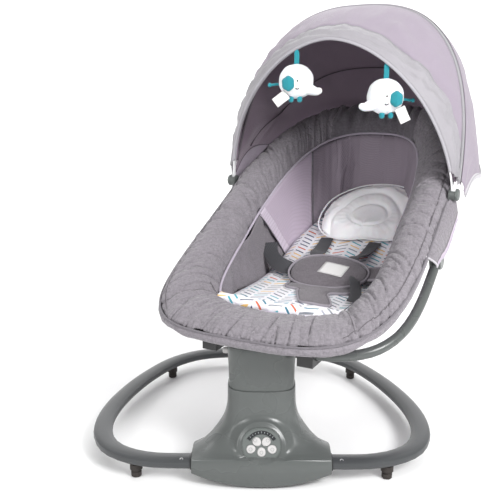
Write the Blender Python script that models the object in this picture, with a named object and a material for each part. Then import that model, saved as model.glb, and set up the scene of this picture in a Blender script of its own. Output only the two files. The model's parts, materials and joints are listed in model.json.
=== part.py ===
"""Baby swing: a floor loop, a motor pedestal, a reclining padded seat, and a folding canopy."""

import bpy
import bmesh
import math
from mathutils import Vector

# ---------------------------------------------------------------- driving dimensions (metres)
GAP = 0.0003

TUBE_W = 0.035
TUBE_H = 0.019
TUBE_Z = 0.034
LOOP = [(0.1178, -0.060), (0.150, -0.0605), (0.190, -0.057), (0.232, -0.042), (0.268, -0.012),
        (0.289, 0.035), (0.296, 0.095), (0.289, 0.165), (0.268, 0.245), (0.238, 0.320),
        (0.200, 0.385), (0.150, 0.428), (0.090, 0.446), (0.0, 0.452)]
FOOT_FRONT = (0.2148, -0.050)
FOOT_REAR = (0.204, 0.381)

FOOT_HALF = 0.1175
FOOT_FRONT_Y = -0.095
FOOT_BACK_Y = 0.060
HOUSING_TOP = 0.152
NECK_TOP = 0.2285
NECK_HALF = 0.0575
NECK_DEPTH = 0.044
SHELL = 0.0028
SPLIT_Y = -0.0163

PANEL_Y = -0.0745
PANEL_Z = 0.066
PANEL_TILT = math.radians(19)
FASCIA_R = 0.0315
BUTTONS = [("button_bottom", 0.0, -0.0072), ("button_left", -0.0182, -0.0020),
           ("button_right", 0.0182, -0.0020), ("button_upper_left", -0.0083, 0.0108),
           ("button_upper_right", 0.0083, 0.0108)]
BUTTON_R = 0.0070

SWING_REST = math.radians(-26.32)
SHAFT_R = 0.007
ARM_Z = 0.2300
ARM_T = 0.0100

SEAT_W = 0.461
SEAT_L = 0.761
SEAT_MID = 0.2929
N_FOOT = 3.5
N_HEAD = 2.6
TAPER = -0.036
RIM_R = 0.009
PAD_SIDE = 0.079
PAD_FOOT = 0.122
PAD_HEAD = 0.060
BAG_BOTTOM = 0.2415

HUB_Y = 0.263
HUB_Z = 0.340
HOOP_HALF = 0.2325
HOOP_Z = 0.2203
HOOP_R = 0.009

HINGE_Y = 0.342
HINGE_Z = 0.451
FRONT_BOW = (0.2358, 0.2956, 1.82, math.radians(-11.9))
MID_BOW = (0.2418, 0.3867, 2.64, math.radians(20.3))
HEM_HALF = 0.2540
HEM_REACH = 0.3985
HEM_POWER = 3.6
CLOTH_START = 0.030
BOW_W = 0.009
BOW_T = 0.0024

# ---------------------------------------------------------------- scene
for old in list(bpy.data.objects):
    bpy.data.objects.remove(old, do_unlink=True)
for old in list(bpy.data.collections):
    bpy.data.collections.remove(old)
scene = bpy.context.scene
parts = bpy.data.collections.new("baby_swing")
cutters = bpy.data.collections.new("cutters")
scene.collection.children.link(parts)
scene.collection.children.link(cutters)
cutters.hide_render = True

FRAMES = {}


def empty(name, at, parent=None, turn=0.0):
    """An axis or frame marker; at is in the parent frame's own coordinates."""
    e = bpy.data.objects.new(name, None)
    parts.objects.link(e)
    base = Vector((0, 0, 0))
    if parent is not None:
        e.parent = FRAMES[parent][0]
        base = FRAMES[parent][1]
    e.location = Vector(at) - base
    e.rotation_euler = (0, 0, turn)
    FRAMES[name] = (e, Vector(at) if parent is not None or turn == 0.0 else Vector((0, 0, 0)))
    return e


empty("base_frame", (0, 0, 0))
empty("swing_frame", (0, 0, 0), turn=SWING_REST)
empty("seat_frame", (0, HUB_Y, HUB_Z), "swing_frame")
empty("canopy_mid_frame", (0, HINGE_Y, HINGE_Z), "seat_frame")
empty("canopy_front_frame", (0, HINGE_Y, HINGE_Z), "canopy_mid_frame")


def material(name, colour, rough=0.5, metal=0.0):
    m = bpy.data.materials.new(name)
    m.use_nodes = True
    b = m.node_tree.nodes["Principled BSDF"]
    b.inputs["Base Color"].default_value = (*colour, 1)
    b.inputs["Roughness"].default_value = rough
    b.inputs["Metallic"].default_value = metal
    return m


GREY = (0.115, 0.13, 0.125)
DARK = (0.03, 0.03, 0.032)
STEEL = (0.55, 0.55, 0.56)
PEARL = (0.75, 0.74, 0.72)
CLOTH = (0.28, 0.26, 0.29)
LILAC = (0.48, 0.44, 0.50)
WHITE = (0.80, 0.80, 0.80)


def node(name, bm, colour, frame="base_frame", origin=None, smooth=True, rough=0.5, metal=0.0,
         cutter=False):
    """Closes a bmesh into one named object, with its origin at a point of its frame."""
    if not cutter:
        bmesh.ops.remove_doubles(bm, verts=bm.verts, dist=0.00002)
    bmesh.ops.recalc_face_normals(bm, faces=bm.faces)
    holder, at = FRAMES[frame]
    origin = Vector(origin) if origin is not None else at.copy()
    for v in bm.verts:
        v.co -= origin
    mesh = bpy.data.meshes.new(name)
    bm.to_mesh(mesh)
    bm.free()
    ob = bpy.data.objects.new(name, mesh)
    (cutters if cutter else parts).objects.link(ob)
    ob.parent = holder
    ob.location = origin - at
    if cutter:
        ob.display_type = "WIRE"
        ob.hide_render = True
    else:
        mesh.materials.append(material(name, colour, rough, metal))
        if smooth:
            for p in mesh.polygons:
                p.use_smooth = True
    return ob


def boolean(ob, tool, kind="DIFFERENCE"):
    m = ob.modifiers.new(kind.lower(), "BOOLEAN")
    m.operation = kind
    m.solver = "EXACT"
    m.object = tool


def loft(rings, loop=False, caps=True, bm=None):
    """Skins a list of equal point rings; loop joins the last ring to the first."""
    bm = bm or bmesh.new()
    rows = [[bm.verts.new(p) for p in ring] for ring in rings]
    count = len(rows[0])
    last = len(rows) if loop else len(rows) - 1
    for i in range(last):
        a = rows[i]
        b = rows[(i + 1) % len(rows)]
        for j in range(count):
            k = (j + 1) % count
            bm.faces.new((a[j], a[k], b[k], b[j]))
    if caps and not loop:
        bm.faces.new(rows[0][::-1])
        bm.faces.new(rows[-1])
    return bm


def block(lo, hi, bm=None):
    bm = bm or bmesh.new()
    ring = [(lo[0], lo[1]), (hi[0], lo[1]), (hi[0], hi[1]), (lo[0], hi[1])]
    return loft([[(x, y, lo[2]) for x, y in ring], [(x, y, hi[2]) for x, y in ring]], bm=bm)


def basis(axis):
    axis = Vector(axis).normalized()
    side = axis.cross(Vector((0, 0, 1)))
    if side.length < 0.1:
        side = axis.cross(Vector((0, 1, 0)))
    side.normalize()
    return axis, side, side.cross(axis).normalized()


def turned(start, axis, profile, count=20, bm=None):
    """A solid of revolution: profile is (distance along the axis, radius) pairs."""
    axis, side, up = basis(axis)
    rings = []
    for along, r in profile:
        centre = Vector(start) + axis * along
        ring = []
        for i in range(count):
            a = 2 * math.pi * i / count
            ring.append(centre + side * (r * math.cos(a)) + up * (r * math.sin(a)))
        rings.append(ring)
    return loft(rings, bm=bm)


def ring_solid(start, axis, length, outer, inner, count=24):
    """A plain ring or bush, bored right through."""
    axis, side, up = basis(axis)
    rings = []
    for along, r in ((0, outer), (length, outer), (length, inner), (0, inner)):
        centre = Vector(start) + axis * along
        rings.append([centre + side * (r * math.cos(2 * math.pi * i / count))
                      + up * (r * math.sin(2 * math.pi * i / count)) for i in range(count)])
    return loft(rings, loop=True)


def outline_solid(points, place, low, high):
    """Extrudes a flat outline; place turns (u, v, w) into a point."""
    return loft([[place(u, v, low) for u, v in points], [place(u, v, high) for u, v in points]])


def smooth_path(points, count):
    """Even points along a Catmull-Rom curve through the given ones."""
    pts = [Vector(p) for p in points]
    pts = [2 * pts[0] - pts[1]] + pts + [2 * pts[-1] - pts[-2]]
    dense = []
    for i in range(1, len(pts) - 2):
        a, b, c, d = pts[i - 1:i + 3]
        for s in range(16):
            t = s / 16
            dense.append(0.5 * (2 * b + (c - a) * t + (2 * a - 5 * b + 4 * c - d) * t * t
                                + (3 * b - a - 3 * c + d) * t ** 3))
    dense.append(pts[-2])
    return even(dense, count)


def even(dense, count, closed=False):
    """Points at equal distances along a polyline."""
    line = dense + [dense[0]] if closed else dense
    run = [0.0]
    for a, b in zip(line, line[1:]):
        run.append(run[-1] + (b - a).length)
    out = []
    steps = count if closed else count - 1
    k = 0
    for i in range(count):
        want = run[-1] * i / steps
        while k < len(run) - 2 and run[k + 1] < want:
            k += 1
        f = (want - run[k]) / max(run[k + 1] - run[k], 1e-9)
        out.append(line[k].lerp(line[k + 1], min(max(f, 0), 1)))
    return out


def sweep(path, profile, up=Vector((0, 0, 1)), closed=False):
    """Carries a flat (across, upward) profile along a path."""
    rings = []
    n = len(path)
    for i, p in enumerate(path):
        a = path[(i - 1) % n] if closed or i else path[0]
        b = path[(i + 1) % n] if closed or i < n - 1 else path[-1]
        t = (b - a).normalized()
        side = t.cross(up).normalized()
        lift = side.cross(t).normalized()
        rings.append([p + side * u + lift * v for u, v in profile])
    return loft(rings, loop=closed)


def oval(w, h, count, power=2.0):
    pts = []
    for i in range(count):
        a = 2 * math.pi * i / count
        c, s = math.cos(a), math.sin(a)
        pts.append((w / 2 * math.copysign(abs(c) ** (2 / power), c),
                    h / 2 * math.copysign(abs(s) ** (2 / power), s)))
    return pts


def sgnpow(v, e):
    return math.copysign(abs(v) ** e, v)


# ---------------------------------------------------------------- floor loop and feet
for side, sign in (("left", -1), ("right", 1)):
    path = [Vector((sign * x, y, TUBE_Z)) for x, y in LOOP]
    path[-1] = Vector((sign * GAP / 2, LOOP[-1][1], TUBE_Z))
    path = [Vector((sign * 0.108, -0.060, TUBE_Z))] + smooth_path(path[:], 40)[1:]
    path[-1].x = sign * GAP / 2
    path[-2].y = path[-1].y
    node("base_tube_" + side, sweep(path, oval(TUBE_W, TUBE_H, 14, 2.5)), GREY, rough=0.35)

for label, (fx, fy) in (("front", FOOT_FRONT), ("rear", FOOT_REAR)):
    for side, sign in (("left", -1), ("right", 1)):
        top = TUBE_Z - TUBE_H / 2 - GAP
        profile = [(0, 0.0078), (0.0015, 0.0090), (0.009, 0.0092), (0.0105, 0.0075), (0.013, 0.0070),
                   (0.0135, 0.0110), (top, 0.0110)]
        node("foot_" + label + "_" + side, turned((sign * fx, fy, 0), (0, 0, 1), profile, 14), DARK)

# ---------------------------------------------------------------- pedestal housing


def panel_point(u, v, w):
    """A point of the control panel: u right, v up the panel, w out of it."""
    c, s = math.cos(PANEL_TILT), math.sin(PANEL_TILT)
    return Vector((u, PANEL_Y + v * s - w * c, PANEL_Z + v * c + w * s))


LEVELS = [(0.0040, 0.155, -0.0905, 0.055, -0.050, 2.1, -0.8), (0.0080, 0.157, -0.0945, 0.059, -0.050, 2.1, -0.8),
          (0.030, 0.157, -0.0955, 0.060, -0.050, 2.1, 0.0), (0.0510, 0.156, -0.0915, 0.058, -0.050, 2.1, 0.35),
          (0.0545, 0.142, -0.0865, 0.056, -0.047, 2.15, 0.35), (0.0580, 0.114, -0.0795, 0.054, -0.037, 2.3, 0.3),
          (0.0640, 0.093, -0.0720, 0.052, -0.023, 2.5, 0.2), (0.0720, 0.0795, -0.0655, 0.050, -0.012, 2.7, 0.05),
          (0.0810, 0.0710, -0.0600, 0.048, -0.006, 2.9, 0.0), (0.0900, 0.0660, -0.0555, 0.047, -0.003, 3.0, 0.0),
          (0.1000, 0.0628, -0.0520, 0.0465, -0.001, 3.1, 0.0), (0.1110, 0.0605, -0.0495, 0.046, 0.0, 3.2, 0.0),
          (0.1240, 0.0592, -0.0475, 0.0455, 0.0, 3.2, 0.0), (0.1380, 0.0587, -0.0460, 0.045, 0.0, 3.2, 0.0),
          (HOUSING_TOP, 0.0585, -0.0450, 0.045, 0.0, 3.2, 0.0)]


def rear_power(z):
    """The foot's rear edge runs in nearly straight from its ends, so each end is little wider than its tube."""
    f = max(0.0, min(1.0, (z - 0.050) / 0.040))
    return 1.12 + 1.88 * f * f * (3 - 2 * f)


def housing_ring(level, inset, count=52):
    z, half, front, back, mid, power, droop = level
    ring = []
    for i in range(count):
        a = 2 * math.pi * (i + 0.5) / count
        c, s = math.cos(a), math.sin(a)
        bend = rear_power(z) if s > 0 else power
        x = (half - inset) * sgnpow(c, 2 / bend)
        reach = (back - mid - inset) if s > 0 else (mid - front - inset)
        y = mid + reach * sgnpow(s, 2 / bend)
        lim = FOOT_HALF - inset
        x = max(-lim, min(lim, x))
        zz = z - 0.021 * droop * (x / FOOT_HALF) ** 2
        # the domed area around the control panel is drawn out to the panel's own plane
        rel = Vector((x, y, zz)) - panel_point(0, 0, 0)
        v = rel.z * math.cos(PANEL_TILT) + rel.y * math.sin(PANEL_TILT)
        r = math.hypot(x / 0.036, (v - 0.002) / 0.034)
        if s < 0 and zz > 0.0515:
            k = max(0.0, min(1.0, (1.55 - r) / 0.60))
            k = k * k * (3 - 2 * k)
            flat = PANEL_Y + (zz - PANEL_Z) * math.tan(PANEL_TILT) + inset
            y = y * (1 - k) + flat * k
        ring.append((x, y, zz))
    return ring


def housing():
    outer = [housing_ring(lv, 0.0) for lv in LEVELS]
    inner = [housing_ring(lv, SHELL) for lv in LEVELS]
    bm = loft(outer + inner[::-1], loop=True)
    bmesh.ops.triangulate(bm, faces=bm.faces)
    return bm


def half_space(name, front):
    y0, y1 = (SPLIT_Y - GAP / 2, 0.2) if front else (-0.2, SPLIT_Y + GAP / 2)
    return node(name, block((-0.2, y0, -0.05), (0.2, y1, 0.3)), DARK, cutter=True)


front_shell = node("pedestal_front_shell", housing(), GREY, rough=0.3)
rear_shell = node("pedestal_rear_shell", housing(), GREY, rough=0.3)
boolean(front_shell, half_space("cut_back_half", True))
boolean(rear_shell, half_space("cut_front_half", False))
boolean(front_shell, node("cut_panel", outline_solid(oval(2 * FASCIA_R + 2 * GAP, 0.0546 + 2 * GAP, 32, 2.3),
        lambda u, v, w: panel_point(u, v + 0.0045, w), -0.02, 0.02), DARK, cutter=True))
for side, sign in (("left", -1), ("right", 1)):
    x0, x1 = sorted((sign * 0.100, sign * 0.130))
    hole = sweep([Vector((x0, -0.060, TUBE_Z)), Vector((x1, -0.060, TUBE_Z))],
                 oval(TUBE_W + 2 * GAP, TUBE_H + 2 * GAP, 14, 2.5))
    boolean(front_shell, node("cut_socket_" + side, hole, DARK, cutter=True))
jack_hole = turned((0, 0.030, 0.030), (0, 1, 0), [(0, 0.0063), (0.05, 0.0063)], 20)
boolean(rear_shell, node("cut_jack", jack_hole, DARK, cutter=True))



def foot_span(x, inset):
    """Front and back of the housing's bottom edge at x."""
    z, half, front, back, mid, power, droop = LEVELS[0]
    k = (1 - (abs(x) / half) ** power) ** (1 / power)
    bend = rear_power(z)
    j = (1 - (abs(x) / half) ** bend) ** (1 / bend)
    return mid - (mid - front) * k + inset, mid + (back - mid) * j - 1.6 * inset


rings = []
for i in range(13):
    x = -0.1060 + 0.2120 * i / 12
    y0, y1 = foot_span(x, SHELL + 0.0032)
    z = 0.0048 + 0.0168 * (x / FOOT_HALF) ** 2
    rings.append([(x, y0, z), (x, y1, z), (x, y1, z + 0.0022), (x, y0, z + 0.0022)])
node("pedestal_bottom_plate", loft(rings), DARK, smooth=False)
floor_pad = loft([[(0.060 * u, -0.022 + 0.052 * v, z) for u, v in oval(2, 2, 28, 3.0)] for z in (0.0, 0.0044)])
node("pedestal_floor_pad", floor_pad, DARK, smooth=False, rough=0.8)

# ---------------------------------------------------------------- neck


def neck_ring(z, half, depth, inset, count=36):
    return [((half - inset) * sgnpow(math.cos(a), 2 / 3.2), (depth - inset) * sgnpow(math.sin(a), 2 / 3.2), z)
            for a in [2 * math.pi * (i + 0.5) / count for i in range(count)]]


neck_out = [(0.1445, 0.0540, 0.0400), (0.1520, 0.0540, 0.0400), (0.1524, 0.0566, 0.0428),
            (0.1800, 0.0568, 0.0432), (0.2080, 0.0580, 0.0442), (0.2255, 0.0594, 0.0455),
            (NECK_TOP, 0.0582, 0.0443)]
neck_in = [(NECK_TOP - SHELL, 0.0560, 0.0425), (0.2080, 0.0552, 0.0412), (0.1800, 0.0540, 0.0402),
           (0.1500, 0.0514, 0.0374), (0.1445, 0.0514, 0.0374)]
rings = [neck_ring(z, a, d, 0) for z, a, d in neck_out]
bore = 0.0140
top_hole = [(bore * math.cos(2 * math.pi * (i + 0.5) / 36), bore * math.sin(2 * math.pi * (i + 0.5) / 36))
            for i in range(36)]
rings.append([(x, y, NECK_TOP) for x, y in top_hole])
rings.append([(x, y, NECK_TOP - SHELL) for x, y in top_hole])
rings += [neck_ring(z, a, d, 0) for z, a, d in neck_in]
neck = node("neck_shell", loft(rings, loop=True), GREY, rough=0.3)
NB = Vector((-0.0600, 0.012, 0.2060))
neck_hole = turned(NB + Vector((-0.01, 0, 0)), (1, 0, 0), [(0, 0.0065), (0.02, 0.0065)], 18)
boolean(neck, node("cut_neck_button", neck_hole, DARK, cutter=True))
node("neck_button", turned(NB + Vector((0.0085, 0, 0)), (-1, 0, 0),
     [(0, 0.0058), (0.0120, 0.0058), (0.0150, 0.0052), (0.0162, 0.0036)], 18), PEARL, origin=NB)

# ---------------------------------------------------------------- control panel
fascia = node("control_fascia", outline_solid(oval(2 * FASCIA_R, 0.0546, 32, 2.3),
              lambda u, v, w: panel_point(u, v + 0.0045, w), -0.0026, 0.0004), GREY, rough=0.35)


def crescent(grow):
    pts = []
    span = math.radians(58) + grow / 0.026
    for i in range(15):
        a = math.pi / 2 + span * (1 - i / 7)
        pts.append(((0.0283 + grow) * math.cos(a), (0.0283 + grow) * math.sin(a)))
    for i in range(15):
        a = math.pi / 2 - span * (1 - i / 7)
        pts.append(((0.0226 - grow) * math.cos(a), (0.0226 - grow) * math.sin(a)))
    return pts


node("display_window", outline_solid(crescent(0), panel_point, -0.0022, 0.0001), DARK, rough=0.1)
boolean(fascia, node("cut_display", outline_solid(crescent(GAP), panel_point, -0.01, 0.01), DARK, cutter=True))


def petal(u, v, r):
    """A rounded drop whose point looks at the middle of the fan."""
    away = math.atan2(v - 0.0030, u) if (u or v) else 0.0
    pts = []
    for i in range(20):
        a = 2 * math.pi * i / 20
        stretch = 1.0 + 0.22 * max(0.0, math.cos(a - away - math.pi)) ** 3
        pts.append((u + r * stretch * math.cos(a), v + r * stretch * math.sin(a)))
    return pts


for label, bu, bv in BUTTONS:
    tool = outline_solid(petal(bu, bv, BUTTON_R + 0.0004), panel_point, -0.01, 0.01)
    boolean(fascia, node("cut_" + label, tool, DARK, cutter=True))
    rings = []
    for w, r in ((-0.0040, BUTTON_R), (0.0006, BUTTON_R), (0.0016, BUTTON_R * 0.86), (0.0019, BUTTON_R * 0.5)):
        ring = petal(bu, bv, r)
        rings.append([panel_point(p, q, w) for p, q in ring])
    node(label, loft(rings), PEARL, origin=panel_point(bu, bv, 0), rough=0.3)

node("circuit_board", outline_solid([(-0.026, -0.015), (0.026, -0.015), (0.026, 0.024), (-0.026, 0.024)],
     panel_point, -0.0082, -0.0066), (0.02, 0.12, 0.05), smooth=False)
node("speaker", turned((0.026, -0.012, 0.1060), (0, 0, 1), [(0, 0.006), (0.004, 0.0125), (0.010, 0.0180),
     (0.0130, 0.0180)], 18), DARK)
node("dc_jack", turned((0, 0.0380, 0.030), (0, 1, 0), [(0, 0.0055), (0.0175, 0.0055), (0.0178, 0.0059),
     (0.0215, 0.0059)], 16), DARK)

# ---------------------------------------------------------------- drive
deck = loft([neck_ring(0.1360, 0.0535, 0.0395, 0), neck_ring(0.1400, 0.0535, 0.0395, 0)])
mount_deck = node("mount_plate", deck, STEEL, metal=1.0)
CRANK = Vector((0.0, 0.0214, 0.0))
MOTOR = Vector((-0.0260, 0.0195, 0.0))
hole = turned((0, 0, 0.13), (0, 0, 1), [(0, 0.0113), (0.02, 0.0113)], 24)
boolean(mount_deck, node("cut_deck_bearing", hole, DARK, cutter=True))
hole = turned((MOTOR.x, MOTOR.y, 0.13), (0, 0, 1), [(0, 0.0140), (0.02, 0.0140)], 20)
boolean(mount_deck, node("cut_deck_motor", hole, DARK, cutter=True))
node("bearing_lower", ring_solid((0, 0, 0.1333), (0, 0, 1), 0.0068, 0.0110, SHAFT_R + GAP, 24), STEEL, metal=1.0)
node("bearing_upper", ring_solid((0, 0, 0.2215), (0, 0, 1), 0.007, 0.0137, SHAFT_R + GAP, 24), STEEL, metal=1.0)
node("gearbox", block((-0.0400, 0.0090, 0.1405), (0.0180, 0.0305, 0.1640)), (0.6, 0.6, 0.58), smooth=False)
node("drive_motor", turned((MOTOR.x, MOTOR.y, 0.0960), (0, 0, 1), [(0, 0.0060), (0.003, 0.0060), (0.0032, 0.0135),
     (0.0440, 0.0135)], 20), STEEL, metal=1.0)
pin_reach = math.sqrt(0.0214 ** 2 - 0.0095 ** 2)
pin_at = Vector((-pin_reach * math.sin(SWING_REST), pin_reach * math.cos(SWING_REST), 0))
disc = node("crank_disc", turned((CRANK.x, CRANK.y, 0.1645), (0, 0, 1), [(0, 0.0135), (0.0045, 0.0135)], 24),
            STEEL, origin=(CRANK.x, CRANK.y, 0.1645), metal=1.0)
pin = turned((pin_at.x, pin_at.y, 0.1670), (0, 0, 1), [(0, 0.0020), (0.0050, 0.0020)], 10)
boolean(disc, node("add_crank_pin", pin, DARK, cutter=True), "UNION")
shaft = node("swing_shaft", turned((0, 0, 0.1250), (0, 0, 1), [(0, SHAFT_R), (ARM_Z + ARM_T - 0.1250, SHAFT_R)], 24),
             STEEL, "swing_frame", origin=(0, 0, 0.125), metal=1.0)
lever_lo, lever_hi = 0.1724, 0.1764
lever = outline_solid([(-0.0085, -0.006), (0.0085, -0.006), (0.0070, 0.0345), (-0.0070, 0.0345)],
                      lambda u, v, w: Vector((u, v, w)), lever_lo, lever_hi)
boolean(shaft, node("add_lever", lever, DARK, "swing_frame", cutter=True), "UNION")
slot = block((-0.0024, 0.0105, 0.16), (0.0024, 0.0320, 0.19))
boolean(shaft, node("cut_lever_slot", slot, DARK, "swing_frame", cutter=True))

# ---------------------------------------------------------------- swing arm, hoop and hubs
arm = [(-0.098, -0.026), (-0.086, -0.034), (0.086, -0.034), (0.098, -0.026), (0.098, 0.020), (0.060, 0.034),
       (-0.060, 0.034), (-0.098, 0.020)]
arm_ob = node("swing_arm", outline_solid(arm, lambda u, v, w: Vector((u, v, w)), ARM_Z, ARM_Z + ARM_T), DARK,
              "swing_frame", smooth=False)
hole = turned((0, 0, 0.2), (0, 0, 1), [(0, SHAFT_R + GAP), (0.06, SHAFT_R + GAP)], 24)
boolean(arm_ob, node("cut_arm_bore", hole, DARK, "swing_frame", cutter=True))
HOOP_Y = -0.007
for side, sign in (("left", -1), ("right", 1)):
    x0, x1 = sorted((sign * 0.0760, sign * 0.1040))
    lug = block((x0, -0.0240, 0.2040), (x1, 0.0150, ARM_Z + 0.004))
    boolean(arm_ob, node("add_lug_" + side, lug, DARK, "swing_frame", cutter=True), "UNION")
    pts = []
    for i in range(61):
        t = math.pi / 2 * i / 60
        e = 2 / 3.6
        x = HOOP_HALF * abs(math.sin(t)) ** e
        y = HOOP_Y + 0.246 * (1 - abs(math.cos(t)) ** e)
        f = max(0.0, (y - HOOP_Y) / 0.27)
        if x > 0.1045:
            pts.append(Vector((sign * x, y, HOOP_Z + 0.12 * f ** 1.3)))
    lean = (pts[1] - pts[0]).normalized()
    start = pts[0] - lean * 0.0160
    bore = turned(start - lean * 0.0004, lean, [(0, HOOP_R + 0.0005), (0.03, HOOP_R + 0.0005)], 16)
    boolean(arm_ob, node("cut_lug_" + side, bore, DARK, "swing_frame", cutter=True))
    path = [start] + even(pts, 21)
    node("hoop_tube_" + side, sweep(path, oval(2 * HOOP_R, 2 * HOOP_R, 12)), GREY, "swing_frame", rough=0.35)
    hub = node("hub_" + side, turned((sign * 0.2288, HUB_Y, HUB_Z), (sign, 0, 0), [(0, 0.0185), (0.0115, 0.0185),
               (0.0135, 0.0165)], 24), GREY, "swing_frame", origin=(sign * 0.2288, HUB_Y, HUB_Z))
    bore = turned((sign * 0.2200, HUB_Y, HUB_Z), (sign, 0, 0), [(0, 0.0053), (0.0180, 0.0053)], 20)
    boolean(hub, node("cut_hub_" + side, bore, DARK, "swing_frame", cutter=True))
    end = path[-1]
    back = (path[-1] - path[-3]).normalized()
    sock = turned(end - back * 0.020, back, [(0, HOOP_R + GAP), (0.020 + GAP, HOOP_R + GAP)], 16)
    boolean(hub, node("cut_hub_socket_" + side, sock, DARK, "swing_frame", cutter=True))

# ---------------------------------------------------------------- seat rim


def rim_height(y):
    d = y - (SEAT_MID - SEAT_L / 2)
    return 0.2588 + 0.1957 * d + 0.8616 * d * d - 0.6848 * d ** 3


def rim_at(t, side=0.0, foot=0.0, head=0.0, lift=0.0, lift_head=None):
    """A point of the seat outline, drawn in by side, foot and head."""
    c, s = math.cos(t), math.sin(t)
    e = 2 / (N_HEAD if s > 0 else N_FOOT)
    cx, cy = sgnpow(c, e), sgnpow(s, e)
    x = (SEAT_W / 2 - side) * cx * (1 + TAPER * cy)
    y = (SEAT_L / 2 - (head if cy > 0 else foot)) * cy
    full = SEAT_MID + SEAT_L / 2 * cy
    part = (full - (SEAT_MID - SEAT_L / 2)) / SEAT_L
    rise = lift if lift_head is None else lift + (lift_head - lift) * part
    return Vector((x, SEAT_MID + y, rim_height(full) + rise))


def even_angles(count):
    """Curve parameters that space the outline's points evenly."""
    dense = [2 * math.pi * i / 1440 for i in range(1441)]
    pts = [rim_at(t) for t in dense]
    run = [0.0]
    for a, b in zip(pts, pts[1:]):
        run.append(run[-1] + (b - a).length)
    out = []
    k = 0
    for i in range(count):
        want = run[-1] * i / count
        while run[k + 1] < want:
            k += 1
        out.append(dense[k] + (dense[k + 1] - dense[k]) * (want - run[k]) / max(run[k + 1] - run[k], 1e-9))
    return out


STATIONS = even_angles(50)


def pad_frame(t):
    seam = rim_at(t)
    inner = rim_at(t, PAD_SIDE, PAD_FOOT, PAD_HEAD, 0.0076, -0.062)
    ahead = rim_at(t + 0.01) - rim_at(t - 0.01)
    inward = inner - seam
    up = ahead.cross(inward)
    if up.z < 0:
        up = -up
    return seam, inward.normalized(), up.normalized(), inward.length


pad_rings = []
for t in STATIONS:
    seam, inward, up, wide = pad_frame(t)
    hub_w = 0.45 * wide
    sect = [(0.0, 0.0), (0.02 * wide, 0.014), (0.15 * wide, 0.027), (0.38 * wide, 0.035), (0.62 * wide, 0.034),
            (0.85 * wide, 0.024), (0.985 * wide, 0.009), (wide, 0.0), (0.93 * wide, -0.009),
            (hub_w + 0.0100, -0.012), (hub_w + 0.0100, -0.004), (hub_w + 0.0071, 0.0033), (hub_w, 0.0062),
            (hub_w - 0.0071, 0.0033), (hub_w - 0.0100, -0.004), (hub_w - 0.0100, -0.012),
            (0.08 * wide, -0.010)]
    pad_rings.append([seam + inward * a + up * b for a, b in sect])
node("rim_pad", loft(pad_rings, loop=True), CLOTH, "seat_frame", rough=0.9)
tube_rings = []
for t in STATIONS:
    seam, inward, up, wide = pad_frame(t)
    mid = seam + inward * 0.45 * wide - up * 0.004
    tube_rings.append([mid + inward * a + up * b for a, b in oval(2 * RIM_R, 2 * RIM_R, 8)])
node("rim_tube", loft(tube_rings, loop=True), STEEL, "seat_frame", metal=1.0)


def tube_under(y):
    """Middle of the rim tube on the right side, at a given y."""
    best = min((math.pi * (i / 600 - 0.5) for i in range(601)), key=lambda t: abs(
        (pad_frame(t)[0] + pad_frame(t)[1] * 0.45 * pad_frame(t)[3]).y - y))
    seam, inward, up, wide = pad_frame(best)
    return seam + inward * 0.45 * wide - up * 0.004

# ---------------------------------------------------------------- seat bag, board and liner


def floor_height(y):
    """The seat's inner floor: level under the legs, rising under the back."""
    d = max(0.0, y - 0.23)
    return 0.2475 + 1.35 * d * d / (1 + 1.1 * d)


BAG_ANGLES = even_angles(40)


def bag_ring(side, foot, head, height):
    ring = []
    for t in BAG_ANGLES:
        p = rim_at(t, side, foot, head)
        ring.append(Vector((p.x, p.y, height(p))))
    return ring


def under_pad(along, drop):
    """A ring just below the pad; along is measured from the seam, or is a share of the pad's width."""
    ring = []
    for t in BAG_ANGLES:
        seam, inward, up, wide = pad_frame(t)
        reach = 0.45 * wide + along if along < 0.1 else along * wide
        ring.append(seam + inward * reach - up * drop)
    return ring


top_out = under_pad(0.0125, 0.0140)
top_in = under_pad(0.92, 0.0120)
low_out = bag_ring(0.060, 0.078, 0.062, lambda p: floor_height(p.y) - 0.006)
low_in = bag_ring(0.084, 0.118, 0.078, lambda p: floor_height(p.y))
mid_out = [a.lerp(b, 0.5) for a, b in zip(top_out, low_out)]
mid_in = [a.lerp(b, 0.5) for a, b in zip(top_in, low_in)]
outer = [top_out, mid_out, low_out, bag_ring(0.150, 0.190, 0.200, lambda p: floor_height(p.y) - 0.006)]
inner = [bag_ring(0.150, 0.190, 0.200, lambda p: floor_height(p.y)), low_in, mid_in, top_in]


def inner_half(y, spare):
    """Half width of the seat's inner floor at y."""
    head = y > SEAT_MID
    reach = SEAT_L / 2 - (0.078 if head else 0.118)
    power = N_HEAD if head else N_FOOT
    cy = min(1.0, abs(y - SEAT_MID) / reach)
    side = (SEAT_W / 2 - 0.084) * (1 - cy ** power) ** (1 / power)
    return side * (1 + TAPER * (cy if head else -cy)) - spare


bag = bmesh.new()
rows = [[bag.verts.new(p) for p in ring] for ring in outer]
rows_in = [[bag.verts.new(p) for p in ring] for ring in inner]


def skin(a, b):
    n = len(a)
    for j in range(n):
        bag.faces.new((a[j], a[(j + 1) % n], b[(j + 1) % n], b[j]))


def close_middle(row):
    n = len(row)
    q = n // 4
    for j in range(-q, q):
        a, b = row[j % n], row[(j + 1) % n]
        c, d = row[(n // 2 - j - 1) % n], row[(n // 2 - j) % n]
        if len({a, b, c, d}) == 4:
            bag.faces.new((a, b, c, d))
        else:
            bag.faces.new(tuple(dict.fromkeys((a, b, c, d))))


for a, b in zip(rows, rows[1:]):
    skin(a, b)
close_middle(rows[-1])
close_middle(rows_in[0])
for a, b in zip(rows_in, rows_in[1:]):
    skin(a, b)
skin(rows_in[-1], rows[0])
node("seat_bag", bag, CLOTH, "seat_frame", rough=0.9)


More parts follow.
